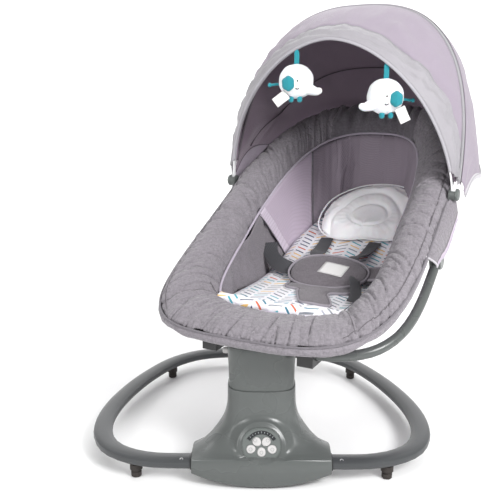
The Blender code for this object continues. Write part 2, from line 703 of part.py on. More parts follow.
def along_floor(stations, half, spare, low, high):
    """A flat sheet that follows the floor through the given y stations."""
    rings = []
    for y in stations:
        h = min(half, inner_half(y, spare))
        z = floor_height(y)
        rings.append([(-h, y, z + low), (h, y, z + low), (h, y, z + high), (-h, y, z + high)])
    return loft(rings)


node("seat_board", along_floor([0.060 + 0.0285 * i for i in range(9)], 0.115, 0.010, 0.0011, 0.0041), (0.5, 0.42, 0.3),
     "seat_frame", smooth=False)
node("liner", along_floor([0.040 + 0.0345 * i for i in range(16)], 0.128, 0.006, 0.0045, 0.0150), WHITE,
     "seat_frame", rough=0.9)

pillow_rings = []
for k in range(7):
    f = math.cos(math.pi * (k / 6 - 0.5))
    f = 0.30 + 0.70 * f ** 0.6
    w = -1 + k / 3
    ring = []
    for i in range(24):
        a = 2 * math.pi * i / 24
        x = 0.108 * f * sgnpow(math.cos(a), 0.85)
        y = 0.074 * f * sgnpow(math.sin(a), 0.85)
        yy = 0.508 + y
        ring.append((x, yy, floor_height(yy) + 0.0350 + 0.0170 * w))
    pillow_rings.append(ring)
node("head_pillow", loft(pillow_rings), WHITE, "seat_frame", rough=0.9)

# ---------------------------------------------------------------- harness
TOP = 0.0154


def strap(name, points, width, thick, count=10):
    """A flat web: points are (x, y, height above the floor)."""
    pts = [Vector((x, y, floor_height(y) + h)) for x, y, h in points]
    path = smooth_path(pts, count)
    node(name, sweep(path, [(-width / 2, 0), (width / 2, 0), (width / 2, thick), (-width / 2, thick)]), DARK,
         "seat_frame", smooth=False)


def flat_pad(name, outline, low, high, colour):
    rings = []
    for w, f in ((0.0, 0.94), (0.3, 1.0), (0.7, 1.0), (1.0, 0.92)):
        rings.append([(cx * f + 0.0, 0.305 + cy * f, floor_height(0.305 + cy * f) + low + (high - low) * w)
                      for cx, cy in outline])
    node(name, loft(rings), colour, "seat_frame", rough=0.9)


flat_pad("buckle_pad", oval(0.128, 0.082, 24, 2.4), 0.0232, 0.0325, CLOTH)
crotch = [(-0.030, -0.150), (0.030, -0.150), (0.026, -0.075), (0.062, -0.050), (0.060, -0.020), (-0.060, -0.020),
          (-0.062, -0.050), (-0.026, -0.075)]
flat_pad("crotch_pad", crotch, TOP + 0.0003, TOP + 0.0055, CLOTH)
for side, sign in (("left", -1), ("right", 1)):
    strap("shoulder_strap_" + side, [(sign * 0.052, 0.4155, TOP + 0.001), (sign * 0.050, 0.395, TOP + 0.002),
          (sign * 0.044, 0.375, TOP + 0.003), (sign * 0.036, 0.3535, TOP + 0.004)], 0.024, 0.0016, 7)
    strap("waist_strap_" + side, [(sign * 0.134, 0.290, TOP + 0.004), (sign * 0.115, 0.295, TOP + 0.004),
          (sign * 0.090, 0.300, TOP + 0.004), (sign * 0.070, 0.304, TOP + 0.006)], 0.024, 0.0016, 7)

# ---------------------------------------------------------------- hub plates, clamps and side skirts
for side, sign in (("left", -1), ("right", 1)):
    ob = node("side_plate_" + side, outline_solid([(0.243, rim_height(0.243) - 0.018), (0.283, rim_height(0.283) - 0.018),
              (0.283, 0.340), (0.276, 0.326), (0.263, 0.320), (0.250, 0.326), (0.243, 0.340)],
              lambda u, v, w: Vector((sign * w, u, v)), 0.2215, 0.2283), GREY, "seat_frame")
    tube = tube_under(HUB_Y)
    x0, x1 = sorted((sign * (tube.x - 0.003), sign * 0.2240))
    foot = block((x0, HUB_Y - 0.010, tube.z - 0.0270), (x1, HUB_Y + 0.010, tube.z - 0.0190))
    boolean(ob, node("add_plate_foot_" + side, foot, DARK, "seat_frame", cutter=True), "UNION")
    stub = turned((sign * 0.2250, HUB_Y, HUB_Z), (sign, 0, 0), [(0, 0.0050), (0.0120, 0.0050)], 20)
    boolean(ob, node("add_plate_stub_" + side, stub, DARK, "seat_frame", cutter=True), "UNION")

    seam_z = rim_height(HINGE_Y)
    tube = tube_under(HINGE_Y)
    low = tube.z - 0.0245
    clamp = [(HINGE_Y - 0.0080, low), (HINGE_Y + 0.0080, low), (HINGE_Y + 0.0100, seam_z - 0.012),
             (HINGE_Y + 0.0115, HINGE_Z - 0.003)]
    for i in range(9):
        a = math.pi * i / 8
        clamp.append((HINGE_Y + 0.0115 * math.cos(a), HINGE_Z + 0.0115 * math.sin(a)))
    clamp += [(HINGE_Y - 0.0115, HINGE_Z - 0.003), (HINGE_Y - 0.0100, seam_z - 0.012)]
    ob = node("canopy_clamp_" + side, outline_solid(clamp, lambda u, v, w: Vector((sign * w, u, v)), 0.2308, 0.2334),
              GREY, "seat_frame")
    x0, x1 = sorted((sign * (tube.x - 0.003), sign * 0.2320))
    foot = block((x0, HINGE_Y - 0.0080, low), (x1, HINGE_Y + 0.0080, tube.z - 0.0165))
    boolean(ob, node("add_clamp_foot_" + side, foot, DARK, "seat_frame", cutter=True), "UNION")
    stub = turned((sign * 0.2322, HINGE_Y, HINGE_Z), (sign, 0, 0), [(0, 0.0024), (0.0112, 0.0024)], 14)
    boolean(ob, node("add_clamp_stub_" + side, stub, DARK, "seat_frame", cutter=True), "UNION")
    cup = []
    for i in range(12):
        a = math.radians(140 + 220 * i / 11)
        cup.append((HINGE_Y + 0.0122 * math.cos(a), HINGE_Z + 0.0122 * math.sin(a)))
    for i in range(12):
        a = math.radians(360 - 220 * i / 11)
        cup.append((HINGE_Y + 0.0098 * math.cos(a), HINGE_Z + 0.0098 * math.sin(a)))
    guard = outline_solid(cup, lambda u, v, w: Vector((sign * w, u, v)), 0.2330, 0.2432)
    boolean(ob, node("add_clamp_cup_" + side, guard, DARK, "seat_frame", cutter=True), "UNION")
    node("hinge_cap_" + side, turned((sign * 0.2437, HINGE_Y, HINGE_Z), (sign, 0, 0), [(0, 0.0118), (0.0036, 0.0118),
         (0.0056, 0.0096), (0.0062, 0.0040)], 24), GREY, "seat_frame")

    rings = []
    for i in range(8):
        y = 0.185 + 0.130 * i / 7
        high = rim_height(y) - 0.002
        low = high - 0.008 - 0.030 * math.sin(math.pi * min(1.0, (i + 1.2) / 6)) ** 0.7
        x0 = 0.2440
        rings.append([(sign * x0, y, high), (sign * (x0 + 0.0018), y, high), (sign * (x0 + 0.0028), y, (high + low) / 2),
                      (sign * (x0 + 0.0018), y, low), (sign * x0, y, low)])
    node("side_skirt_" + side, loft(rings), CLOTH, "seat_frame", rough=0.9)

# ---------------------------------------------------------------- canopy


def arch(bow, u, grow=0.0, tilt=None):
    half, high, power, lean = bow
    lean = lean if tilt is None else tilt
    c, s = math.cos(u), math.sin(u)
    x = (half + grow) * sgnpow(c, 2 / power)
    h = (high + grow) * abs(s) ** (2 / power)
    return Vector((x, HINGE_Y + h * math.sin(lean), HINGE_Z + h * math.cos(lean)))


def arch_path(bow, count, grow=0.0):
    dense = [arch(bow, math.pi * i / 360, grow) for i in range(361)]
    return even(dense, count)


for label, bow, frame in (("front_bow", FRONT_BOW, "canopy_front_frame"), ("mid_bow", MID_BOW, "canopy_mid_frame")):
    along = Vector((0, math.cos(bow[3]), -math.sin(bow[3])))
    rings = []
    path = arch_path(bow, 44)
    for i, p in enumerate(path):
        a = path[max(0, i - 1)]
        b = path[min(len(path) - 1, i + 1)]
        out = (b - a).normalized().cross(along).normalized()
        rings.append([p + along * u + out * v for u, v in ((-BOW_W / 2, -BOW_T / 2), (BOW_W / 2, -BOW_T / 2),
                                                           (BOW_W / 2, BOW_T / 2), (-BOW_W / 2, BOW_T / 2))])
    ob = node(label, loft(rings), WHITE, frame, smooth=False)
    for side, sign in (("left", -1), ("right", 1)):
        x0 = bow[0] - BOW_T / 2
        eye = turned((sign * x0, HINGE_Y, HINGE_Z), (sign, 0, 0), [(0, 0.0070), (BOW_T, 0.0070)], 20)
        boolean(ob, node("add_eye_" + label + "_" + side, eye, DARK, frame, cutter=True), "UNION")
    for side, sign in (("left", -1), ("right", 1)):
        bore = turned((sign * (x0 - 0.002), HINGE_Y, HINGE_Z), (sign, 0, 0), [(0, 0.0027), (BOW_T + 0.004, 0.0027)], 14)
        boolean(ob, node("cut_eye_" + label + "_" + side, bore, DARK, frame, cutter=True))


def mix_bow(f, tilt0, tilt1):
    a, b = FRONT_BOW, MID_BOW
    return (a[0] + (b[0] - a[0]) * f, a[1] + (b[1] - a[1]) * f, a[2] + (b[2] - a[2]) * f,
            tilt0 + (tilt1 - tilt0) * f)


def sheet(grid, thick, out_of):
    """A thin closed shell over a grid of points, thickened away from a point."""
    bm = bmesh.new()
    rows, cols = len(grid), len(grid[0])
    low = [[bm.verts.new(p) for p in row] for row in grid]
    high = []
    for i in range(rows):
        line = []
        for j in range(cols):
            a = grid[min(i + 1, rows - 1)][j] - grid[max(i - 1, 0)][j]
            b = grid[i][min(j + 1, cols - 1)] - grid[i][max(j - 1, 0)]
            n = a.cross(b).normalized()
            if n.dot(grid[i][j] - out_of) < 0:
                n = -n
            line.append(bm.verts.new(grid[i][j] + n * thick))
        high.append(line)
    for i in range(rows - 1):
        for j in range(cols - 1):
            bm.faces.new((low[i][j], low[i][j + 1], low[i + 1][j + 1], low[i + 1][j]))
            bm.faces.new((high[i][j], high[i][j + 1], high[i + 1][j + 1], high[i + 1][j]))
    for i in range(rows - 1):
        for j in (0, cols - 1):
            bm.faces.new((low[i][j], low[i + 1][j], high[i + 1][j], high[i][j]))
    for j in range(cols - 1):
        for i in (0, rows - 1):
            bm.faces.new((low[i][j], low[i][j + 1], high[i][j + 1], high[i][j]))
    return bm


MIDDLE = Vector((0, 0.40, 0.48))
front_grid = []
for k in range(6):
    bow = mix_bow(k / 5, FRONT_BOW[3] - 0.012, MID_BOW[3] - 0.014)
    u0 = math.asin((CLOTH_START / bow[1]) ** (bow[2] / 2))
    dense = [arch(bow, u0 + (math.pi - 2 * u0) * i / 360, 0.0034) for i in range(361)]
    front_grid.append(even(dense, 27))
node("canopy_front_panel", sheet(front_grid, 0.0012, MIDDLE), LILAC, "canopy_mid_frame", rough=0.9)


def hem_at(f):
    """The canopy's rear hem: f runs from the right hinge, round the head, to the left one."""
    t0 = 0.0862
    t = t0 + (math.pi - 2 * t0) * f
    x = HEM_HALF * sgnpow(math.cos(t), 2 / HEM_POWER)
    part = sgnpow(math.sin(t), 2 / HEM_POWER)
    end = math.exp(-(min(f, 1 - f) / 0.05) ** 2)
    return Vector((x, SEAT_MID + HEM_REACH * part, rim_height(SEAT_MID + SEAT_L / 2 * part) - 0.064 + 0.015 * end))


rear_grid = []
u0 = math.asin((0.042 / MID_BOW[1]) ** (MID_BOW[2] / 2))
top_bow = [arch(MID_BOW, u0 + (math.pi - 2 * u0) * i / 360, 0.0072, MID_BOW[3] + 0.002) for i in range(361)]
top_line = even(top_bow, 27)
for k in range(8):
    v = k / 7
    row = []
    for j in range(27):
        f = j / 26
        m = top_line[j]
        h = hem_at(f)
        mid = math.sin(math.pi * f)
        c = (m + h) / 2 + Vector((0.020 * math.copysign(1, m.x) * (1 - mid), 0.110 * mid + 0.012, 0.095 * mid))
        row.append(m * (1 - v) ** 2 + c * (2 * v * (1 - v)) + h * v * v)
    rear_grid.append(row)
node("canopy_rear_panel", sheet(rear_grid, 0.0012, MIDDLE), LILAC, "seat_frame", rough=0.9)

# ---------------------------------------------------------------- toys
for side, sign, x0 in (("left", 1, -0.0665), ("right", -1, 0.1125)):
    h = FRONT_BOW[1] * (1 - (abs(x0) / FRONT_BOW[0]) ** FRONT_BOW[2]) ** (1 / FRONT_BOW[2])
    top = Vector((x0, HINGE_Y + h * math.sin(FRONT_BOW[3]), HINGE_Z + h * math.cos(FRONT_BOW[3])))
    empty("toy_" + side + "_frame", top, "canopy_front_frame")
    centre = top + Vector((0, 0, -0.0620))
    rings = []
    for k in range(11):
        a = math.pi * (k + 0.35) / 11.7
        r = math.sin(a)
        z = centre.z + 0.036 * math.cos(a)
        ring = []
        for i in range(18):
            b = 2 * math.pi * i / 18
            ring.append((centre.x + 0.0370 * r * math.cos(b), centre.y + 0.0270 * r * math.sin(b), z))
        rings.append(ring)
    toy = node("toy_" + side, loft(rings), WHITE, "toy_" + side + "_frame", rough=0.9)
    nose = turned(centre + Vector((sign * 0.020, 0, -0.012)), (sign, 0, 0), [(0, 0.014), (0.020, 0.0110),
                  (0.030, 0.0090), (0.034, 0.0050)], 12)
    boolean(toy, node("add_trunk_" + side, nose, DARK, "toy_" + side + "_frame", cutter=True), "UNION")
    web = block((top.x - 0.005, top.y - 0.0008, centre.z + 0.030), (top.x + 0.005, top.y + 0.0008, top.z - 0.0078))
    boolean(toy, node("add_web_" + side, web, DARK, "toy_" + side + "_frame", cutter=True), "UNION")
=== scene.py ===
"""Looks of the baby swing: padding, mesh, canopy, toys, tubes and housing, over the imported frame."""

import json
from math import asin, atan2, copysign, cos, exp, hypot, pi, radians, sin, tan

import bmesh
import bpy
import numpy as np
from mathutils import Matrix, Vector, noise
from mathutils.bvhtree import BVHTree


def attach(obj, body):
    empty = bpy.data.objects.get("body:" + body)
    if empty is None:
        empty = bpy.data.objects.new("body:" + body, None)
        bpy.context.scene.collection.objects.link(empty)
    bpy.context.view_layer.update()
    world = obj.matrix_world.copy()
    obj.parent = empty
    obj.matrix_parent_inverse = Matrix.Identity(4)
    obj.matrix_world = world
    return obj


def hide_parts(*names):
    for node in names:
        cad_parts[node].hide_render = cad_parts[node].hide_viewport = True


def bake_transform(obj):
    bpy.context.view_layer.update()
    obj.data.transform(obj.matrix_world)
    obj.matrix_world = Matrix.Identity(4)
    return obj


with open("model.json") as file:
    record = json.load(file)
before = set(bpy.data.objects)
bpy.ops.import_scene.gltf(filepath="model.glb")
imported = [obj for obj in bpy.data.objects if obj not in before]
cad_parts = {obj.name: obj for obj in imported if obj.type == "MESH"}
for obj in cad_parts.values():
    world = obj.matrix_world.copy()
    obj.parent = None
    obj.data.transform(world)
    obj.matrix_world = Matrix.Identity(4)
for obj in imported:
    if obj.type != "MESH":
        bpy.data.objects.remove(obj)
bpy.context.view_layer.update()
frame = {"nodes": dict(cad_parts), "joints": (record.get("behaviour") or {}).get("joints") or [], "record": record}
NODES = frame["nodes"]
JOINTS = {j["name"]: j for j in frame["joints"]}
TWO_PI = 2 * pi
SIDES = (("left", -1), ("right", 1))
UP = Vector((0, 0, 1))
WELD = 0.000001  # points closer than this become one
CLOTH = 0.0012  # thickness of the seat's outer cloth and mesh
CANOPY_CLOTH = 0.0009
LINING_CLOTH = 0.0008
PUFF_FRAMES = 20
RING = 0.31  # mean radius of the seat, for folds that follow the rim

# ---------------------------------------------------------------- the seat's own frame
X_SEAT = -Vector(JOINTS["recline"]["axis"])
TURN = Matrix.Rotation(atan2(X_SEAT.y, X_SEAT.x), 4, "Z")
HINGE = TURN.inverted() @ Vector(JOINTS["canopy_mid_fold"]["pos_m"])

# ---------------------------------------------------------------- sizes shared with the solids (metres)
SEAT_W = 0.461
SEAT_L = 0.761
SEAT_MID = 0.2929
N_FOOT = 3.5
N_HEAD = 2.6
TAPER = -0.036
PAD_SIDE = 0.079
PAD_FOOT = 0.122
PAD_HEAD = 0.060
FRONT_BOW = (0.2358, 0.2956, 1.82, radians(-11.9))
MID_BOW = (0.2418, 0.3867, 2.64, radians(20.3))
HEM_HALF = 0.2540
HEM_REACH = 0.3985
HEM_POWER = 3.6


# ---------------------------------------------------------------- curves and outlines
def sgnpow(v, e):
    """A power that keeps its number's sign."""
    return copysign(abs(v) ** e, v)


def clamp(v, low=0.0, high=1.0):
    """The number held between two limits."""
    return max(low, min(high, v))


def smoothstep(low, high, v):
    """0 below low, 1 above high, with an even S-shaped rise between them."""
    t = clamp((v - low) / (high - low))
    return t * t * (3 - 2 * t)


def rim_height(y):
    """Height of the rim seam above the floor, by how far back it is."""
    d = y - (SEAT_MID - SEAT_L / 2)
    return 0.2588 + 0.1957 * d + 0.8616 * d * d - 0.6848 * d ** 3


def rim_at(t, side=0.0, foot=0.0, head=0.0, lift=0.0, lift_head=None):
    """A point of the seat outline, drawn in by side, foot and head."""
    c, s = cos(t), sin(t)
    e = 2 / (N_HEAD if s > 0 else N_FOOT)
    cx, cy = sgnpow(c, e), sgnpow(s, e)
    x = (SEAT_W / 2 - side) * cx * (1 + TAPER * cy)
    y = (SEAT_L / 2 - (head if cy > 0 else foot)) * cy
    full = SEAT_MID + SEAT_L / 2 * cy
    part = (full - (SEAT_MID - SEAT_L / 2)) / SEAT_L
    rise = lift if lift_head is None else lift + (lift_head - lift) * part
    return Vector((x, SEAT_MID + y, rim_height(full) + rise))


def even_angles(count):
    """Curve parameters that space the seat outline's points evenly, from the right side round by the head."""
    dense = [TWO_PI * i / 2880 for i in range(2881)]
    pts = [rim_at(t) for t in dense]
    run = [0.0]
    for a, b in zip(pts, pts[1:]):
        run.append(run[-1] + (b - a).length)
    out = []
    k = 0
    for i in range(count):
        want = run[-1] * i / count
        while run[k + 1] < want:
            k += 1
        out.append(dense[k] + (dense[k + 1] - dense[k]) * (want - run[k]) / max(run[k + 1] - run[k], 1e-9))
    return out


def pad_frame(t):
    """Outer seam point, unit inward, unit up and width of the rim pad at t."""
    seam = rim_at(t)
    inner = rim_at(t, PAD_SIDE, PAD_FOOT, PAD_HEAD, 0.0076, -0.062)
    ahead = rim_at(t + 0.01) - rim_at(t - 0.01)
    inward = inner - seam
    up = ahead.cross(inward)
    if up.z < 0:
        up = -up
    return seam, inward.normalized(), up.normalized(), inward.length


def floor_height(y):
    """The seat's inner floor: level under the legs, rising under the back."""
    d = max(0.0, y - 0.23)
    return 0.2475 + 1.35 * d * d / (1 + 1.1 * d)


def inner_half(y, spare=0.0):
    """Half width of the seat's inner floor at y."""
    head = y > SEAT_MID
    reach = SEAT_L / 2 - (0.078 if head else 0.118)
    power = N_HEAD if head else N_FOOT
    cy = min(1.0, abs(y - SEAT_MID) / reach)
    side = (SEAT_W / 2 - 0.084) * (1 - cy ** power) ** (1 / power)
    return side * (1 + TAPER * (cy if head else -cy)) - spare


def arch(bow, u, grow=0.0, tilt=None):
    """A point of a canopy arch: u runs from the right hinge over the top to the left one."""
    half, high, power, lean = bow
    lean = lean if tilt is None else tilt
    c, s = cos(u), sin(u)
    x = (half + grow) * sgnpow(c, 2 / power)
    h = (high + grow) * abs(s) ** (2 / power)
    return Vector((x, HINGE.y + h * sin(lean), HINGE.z + h * cos(lean)))


def arch_line(bow, start, count, grow=0.0, tilt=None):
    """Even points along an arch between the places where it passes the height start above its hinges."""
    u0 = asin(min(1.0, start / bow[1]) ** (bow[2] / 2))
    return even([arch(bow, u0 + (pi - 2 * u0) * i / 360, grow, tilt) for i in range(361)], count)


def mix_bow(f, tilt0, tilt1):
    """A canopy arch a share of the way from the front bow to the middle one, at its own lean."""
    shape = [a + (b - a) * f for a, b in zip(FRONT_BOW, MID_BOW)]
    return shape[:3] + [tilt0 + (tilt1 - tilt0) * f]


def hem_at(f):
    """The canopy's rear hem: f runs from the right hinge, round the head, to the left one."""
    t0 = 0.0500
    t = t0 + (pi - 2 * t0) * f
    x = HEM_HALF * sgnpow(cos(t), 2 / HEM_POWER)
    part = sgnpow(sin(t), 2 / HEM_POWER)
    end = exp(-(min(f, 1 - f) / 0.05) ** 2)
    low = rim_height(SEAT_MID + SEAT_L / 2 * part) - 0.064 + 0.015 * end
    return Vector((x, SEAT_MID + HEM_REACH * part, low))


def even(dense, count, closed=False):
    """Points at equal distances along a polyline."""
    line = dense + [dense[0]] if closed else dense
    run = [0.0]
    for a, b in zip(line, line[1:]):
        run.append(run[-1] + (b - a).length)
    out = []
    steps = count if closed else count - 1
    k = 0
    for i in range(count):
        want = run[-1] * i / steps
        while k < len(run) - 2 and run[k + 1] < want:
            k += 1
        f = (want - run[k]) / max(run[k + 1] - run[k], 1e-9)
        out.append(line[k].lerp(line[k + 1], clamp(f)))
    return out


def curve_through(points, count, closed=False):
    """Even points along a Catmull-Rom curve through the given ones."""
    pts = [Vector(p) for p in points]
    if closed:
        pts = [pts[-1]] + pts + pts[:2]
    else:
        pts = [2 * pts[0] - pts[1]] + pts + [2 * pts[-1] - pts[-2]]
    dense = []
    for i in range(1, len(pts) - 2):
        a, b, c, d = pts[i - 1:i + 3]
        for s in range(12):
            t = s / 12
            dense.append(0.5 * (2 * b + (c - a) * t + (2 * a - 5 * b + 4 * c - d) * t * t
                                + (3 * b - a - 3 * c + d) * t ** 3))
    if closed:
        return even(dense, count, True)
    dense.append(pts[-2])
    return even(dense, count)


def oval(w, h, count, power=2.0):
    """A superellipse of this width and height as (across, upward) pairs."""
    return [(w / 2 * sgnpow(cos(TWO_PI * i / count), 2 / power),
             h / 2 * sgnpow(sin(TWO_PI * i / count), 2 / power)) for i in range(count)]


# ---------------------------------------------------------------- mesh helpers
def skin(rows, loop_rows=False, loop_cols=False, caps=False, bm=None):
    """Faces over a grid of points, as a bmesh."""
    bm = bm or bmesh.new()
    grid = [[bm.verts.new(p) for p in row] for row in rows]
    n, m = len(grid), len(grid[0])
    for i in range(n if loop_rows else n - 1):
        for j in range(m if loop_cols else m - 1):
            a, b = grid[i], grid[(i + 1) % n]
            k = (j + 1) % m
            bm.faces.new((a[j], a[k], b[k], b[j]))
    if caps:
        bm.faces.new(grid[0][::-1])
        bm.faces.new(grid[-1])
    return bm


def sweep(path, profile, up=UP, closed=False):
    """Carries a flat (across, upward) profile along a path; profile may be a function of the share run."""
    rows = []
    n = len(path)
    for i, p in enumerate(path):
        a = path[(i - 1) % n] if closed or i else path[0]
        b = path[(i + 1) % n] if closed or i < n - 1 else path[-1]
        t = (b - a).normalized()
        lift = up[i] if isinstance(up, list) else up
        side = t.cross(lift).normalized()
        lift = side.cross(t).normalized()
        shape = profile(i / (n - 1)) if callable(profile) else profile
        rows.append([p + side * u + lift * v for u, v in shape])
    return skin(rows, loop_rows=closed, loop_cols=True, caps=not closed)


def turned(start, axis, profile, count=32, bm=None):
    """A solid of revolution: profile is (distance along the axis, radius) pairs."""
    axis = Vector(axis).normalized()
    side = axis.cross(UP)
    if side.length < 0.1:
        side = axis.cross(Vector((0, 1, 0)))
    side.normalize()
    up = side.cross(axis).normalized()
    rows = []
    for along, r in profile:
        centre = Vector(start) + axis * along
        rows.append([centre + side * (r * cos(TWO_PI * i / count))
                     + up * (r * sin(TWO_PI * i / count)) for i in range(count)])
    return skin(rows, loop_cols=True, caps=True, bm=bm)


def behind(grid, thick, toward, ring=False):
    """A grid moved along its normals to the side of a point; a ring's last column meets its first."""
    rows, cols = len(grid), len(grid[0])
    back = []
    for i in range(rows):
        line = []
        for j in range(cols):
            low, high = (j - 1, (j + 1) % cols) if ring else (max(j - 1, 0), min(j + 1, cols - 1))
            a = grid[min(i + 1, rows - 1)][j] - grid[max(i - 1, 0)][j]
            n = a.cross(grid[i][high] - grid[i][low])
            n = n.normalized() if n.length > 1e-12 else UP
            if n.dot(toward - grid[i][j]) < 0:
                n = -n
            line.append(grid[i][j] + n * thick)
        back.append(line)
    return back


def sheet_solid(grid, thick, toward):
    """A closed thin shell over a grid of points; it is thickened towards a point."""
    rows, cols = len(grid), len(grid[0])
    bm = bmesh.new()
    f, g = [[[bm.verts.new(p) for p in row] for row in side] for side in (grid, behind(grid, thick, toward))]
    for i in range(rows - 1):
        for j in range(cols - 1):
            bm.faces.new((f[i][j], f[i][j + 1], f[i + 1][j + 1], f[i + 1][j]))
            bm.faces.new((g[i][j], g[i + 1][j], g[i + 1][j + 1], g[i][j + 1]))
    for i in range(rows - 1):
        for j in (0, cols - 1):
            bm.faces.new((f[i][j], f[i + 1][j], g[i + 1][j], g[i][j]))
    for j in range(cols - 1):
        for i in (0, rows - 1):
            bm.faces.new((f[i][j], f[i][j + 1], g[i][j + 1], g[i][j]))
    return bm


def shell_ring(rows, thick):
    """A closed thin shell from rings of points, thickened towards the rings' middle."""
    middle = sum((p for row in rows for p in row), Vector()) / (len(rows) * len(rows[0]))
    return skin(rows + behind(rows, thick, middle, ring=True)[::-1], loop_rows=True, loop_cols=True)


def grid_of(rows, cols, rule):
    """A grid of points; rule takes the share run down and the share run across."""
    return [[rule(i / (rows - 1), j / (cols - 1)) for j in range(cols)] for i in range(rows)]


def piece(name, bm, material, body, seat_frame=True, smooth=True, replaces=(), blend=None):
    """Turns a bmesh into a finished piece that rides on a body, or, given blend, stays unattached with its
    transform baked in.
    """
    bmesh.ops.remove_doubles(bm, verts=bm.verts, dist=WELD)
    bmesh.ops.recalc_face_normals(bm, faces=bm.faces)
    mesh = bpy.data.meshes.new(name)
    bm.to_mesh(mesh)
    bm.free()
    ob = bpy.data.objects.new(name, mesh)
    bpy.context.scene.collection.objects.link(ob)
    if seat_frame:
        mesh.transform(TURN)
    mesh.materials.append(material)
    for p in mesh.polygons:
        p.use_smooth = smooth
    if blend:
        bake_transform(ob)
    elif body:
        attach(ob, body)
    if replaces:
        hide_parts(*replaces)
    return ob


def settle(ob, kind=None, **settings):
    """Applies a piece's modifiers, with one more of this kind if it is given."""
    if kind:
        m = ob.modifiers.new(kind.lower(), kind)
        for key, value in settings.items():
            setattr(m, key, value)
    depsgraph = bpy.context.evaluated_depsgraph_get()
    mesh = bpy.data.meshes.new_from_object(ob.evaluated_get(depsgraph))
    ob.modifiers.clear()
    ob.data = mesh


def puff(ob, pinned, voxel, cap, pressure=4.0):
    """Fills a closed form by cloth simulation, then keeps each point within cap of where it began."""
    settle(ob, "REMESH", mode="VOXEL", voxel_size=voxel)
    start = np.array([v.co for v in ob.data.vertices])
    group = ob.vertex_groups.new(name="held")
    for v in ob.data.vertices:
        weight = pinned(v.co)
        if weight > 0:
            group.add([v.index], weight, "REPLACE")
    cloth = ob.modifiers.new("cloth", "CLOTH")
    settings = {"quality": 4, "mass": 0.15, "use_pressure": True, "uniform_pressure_force": pressure,
                "vertex_group_mass": "held", "tension_stiffness": 12, "compression_stiffness": 6,
                "bending_stiffness": 0.4}
    for key, value in settings.items():
        setattr(cloth.settings, key, value)
    cloth.settings.effector_weights.gravity = 0
    cloth.collision_settings.use_collision = False
    cloth.point_cache.frame_end = PUFF_FRAMES
    for f in range(1, PUFF_FRAMES + 1):
        bpy.context.scene.frame_set(f)
    settle(ob)
    bpy.context.scene.frame_set(1)
    now = np.array([v.co for v in ob.data.vertices])
    move = now - start
    far = np.linalg.norm(move, axis=1, keepdims=True)
    move *= np.minimum(1.0, cap / np.maximum(far, 1e-9))
    ob.data.vertices.foreach_set("co", (start + move).astype(np.float32).ravel())
    ob.vertex_groups.clear()


def refine(ob):
    """Subdivides a piece once."""
    settle(ob, "SUBSURF", levels=1, render_levels=1)
    for p in ob.data.polygons:
        p.use_smooth = True


def ripple(ob, rule):
    """Moves each point of a piece along its normal by rule(point in the seat frame)."""
    back = TURN.inverted()
    normals = [n.vector.copy() for n in ob.data.vertex_normals]
    for v, n in zip(ob.data.vertices, normals):
        v.co = v.co + n * rule(back @ v.co)


def lumps(x, y, z):
    """Smooth noise from -1 to 1 at three numbers."""
    return noise.noise(Vector((x, y, z)))


def wave(p, scale, seed):
    """Smooth noise from -1 to 1 at a point; scale is the size of its features in metres."""
    return noise.noise(p / scale + Vector((seed, seed * 1.7, seed * 0.3)))


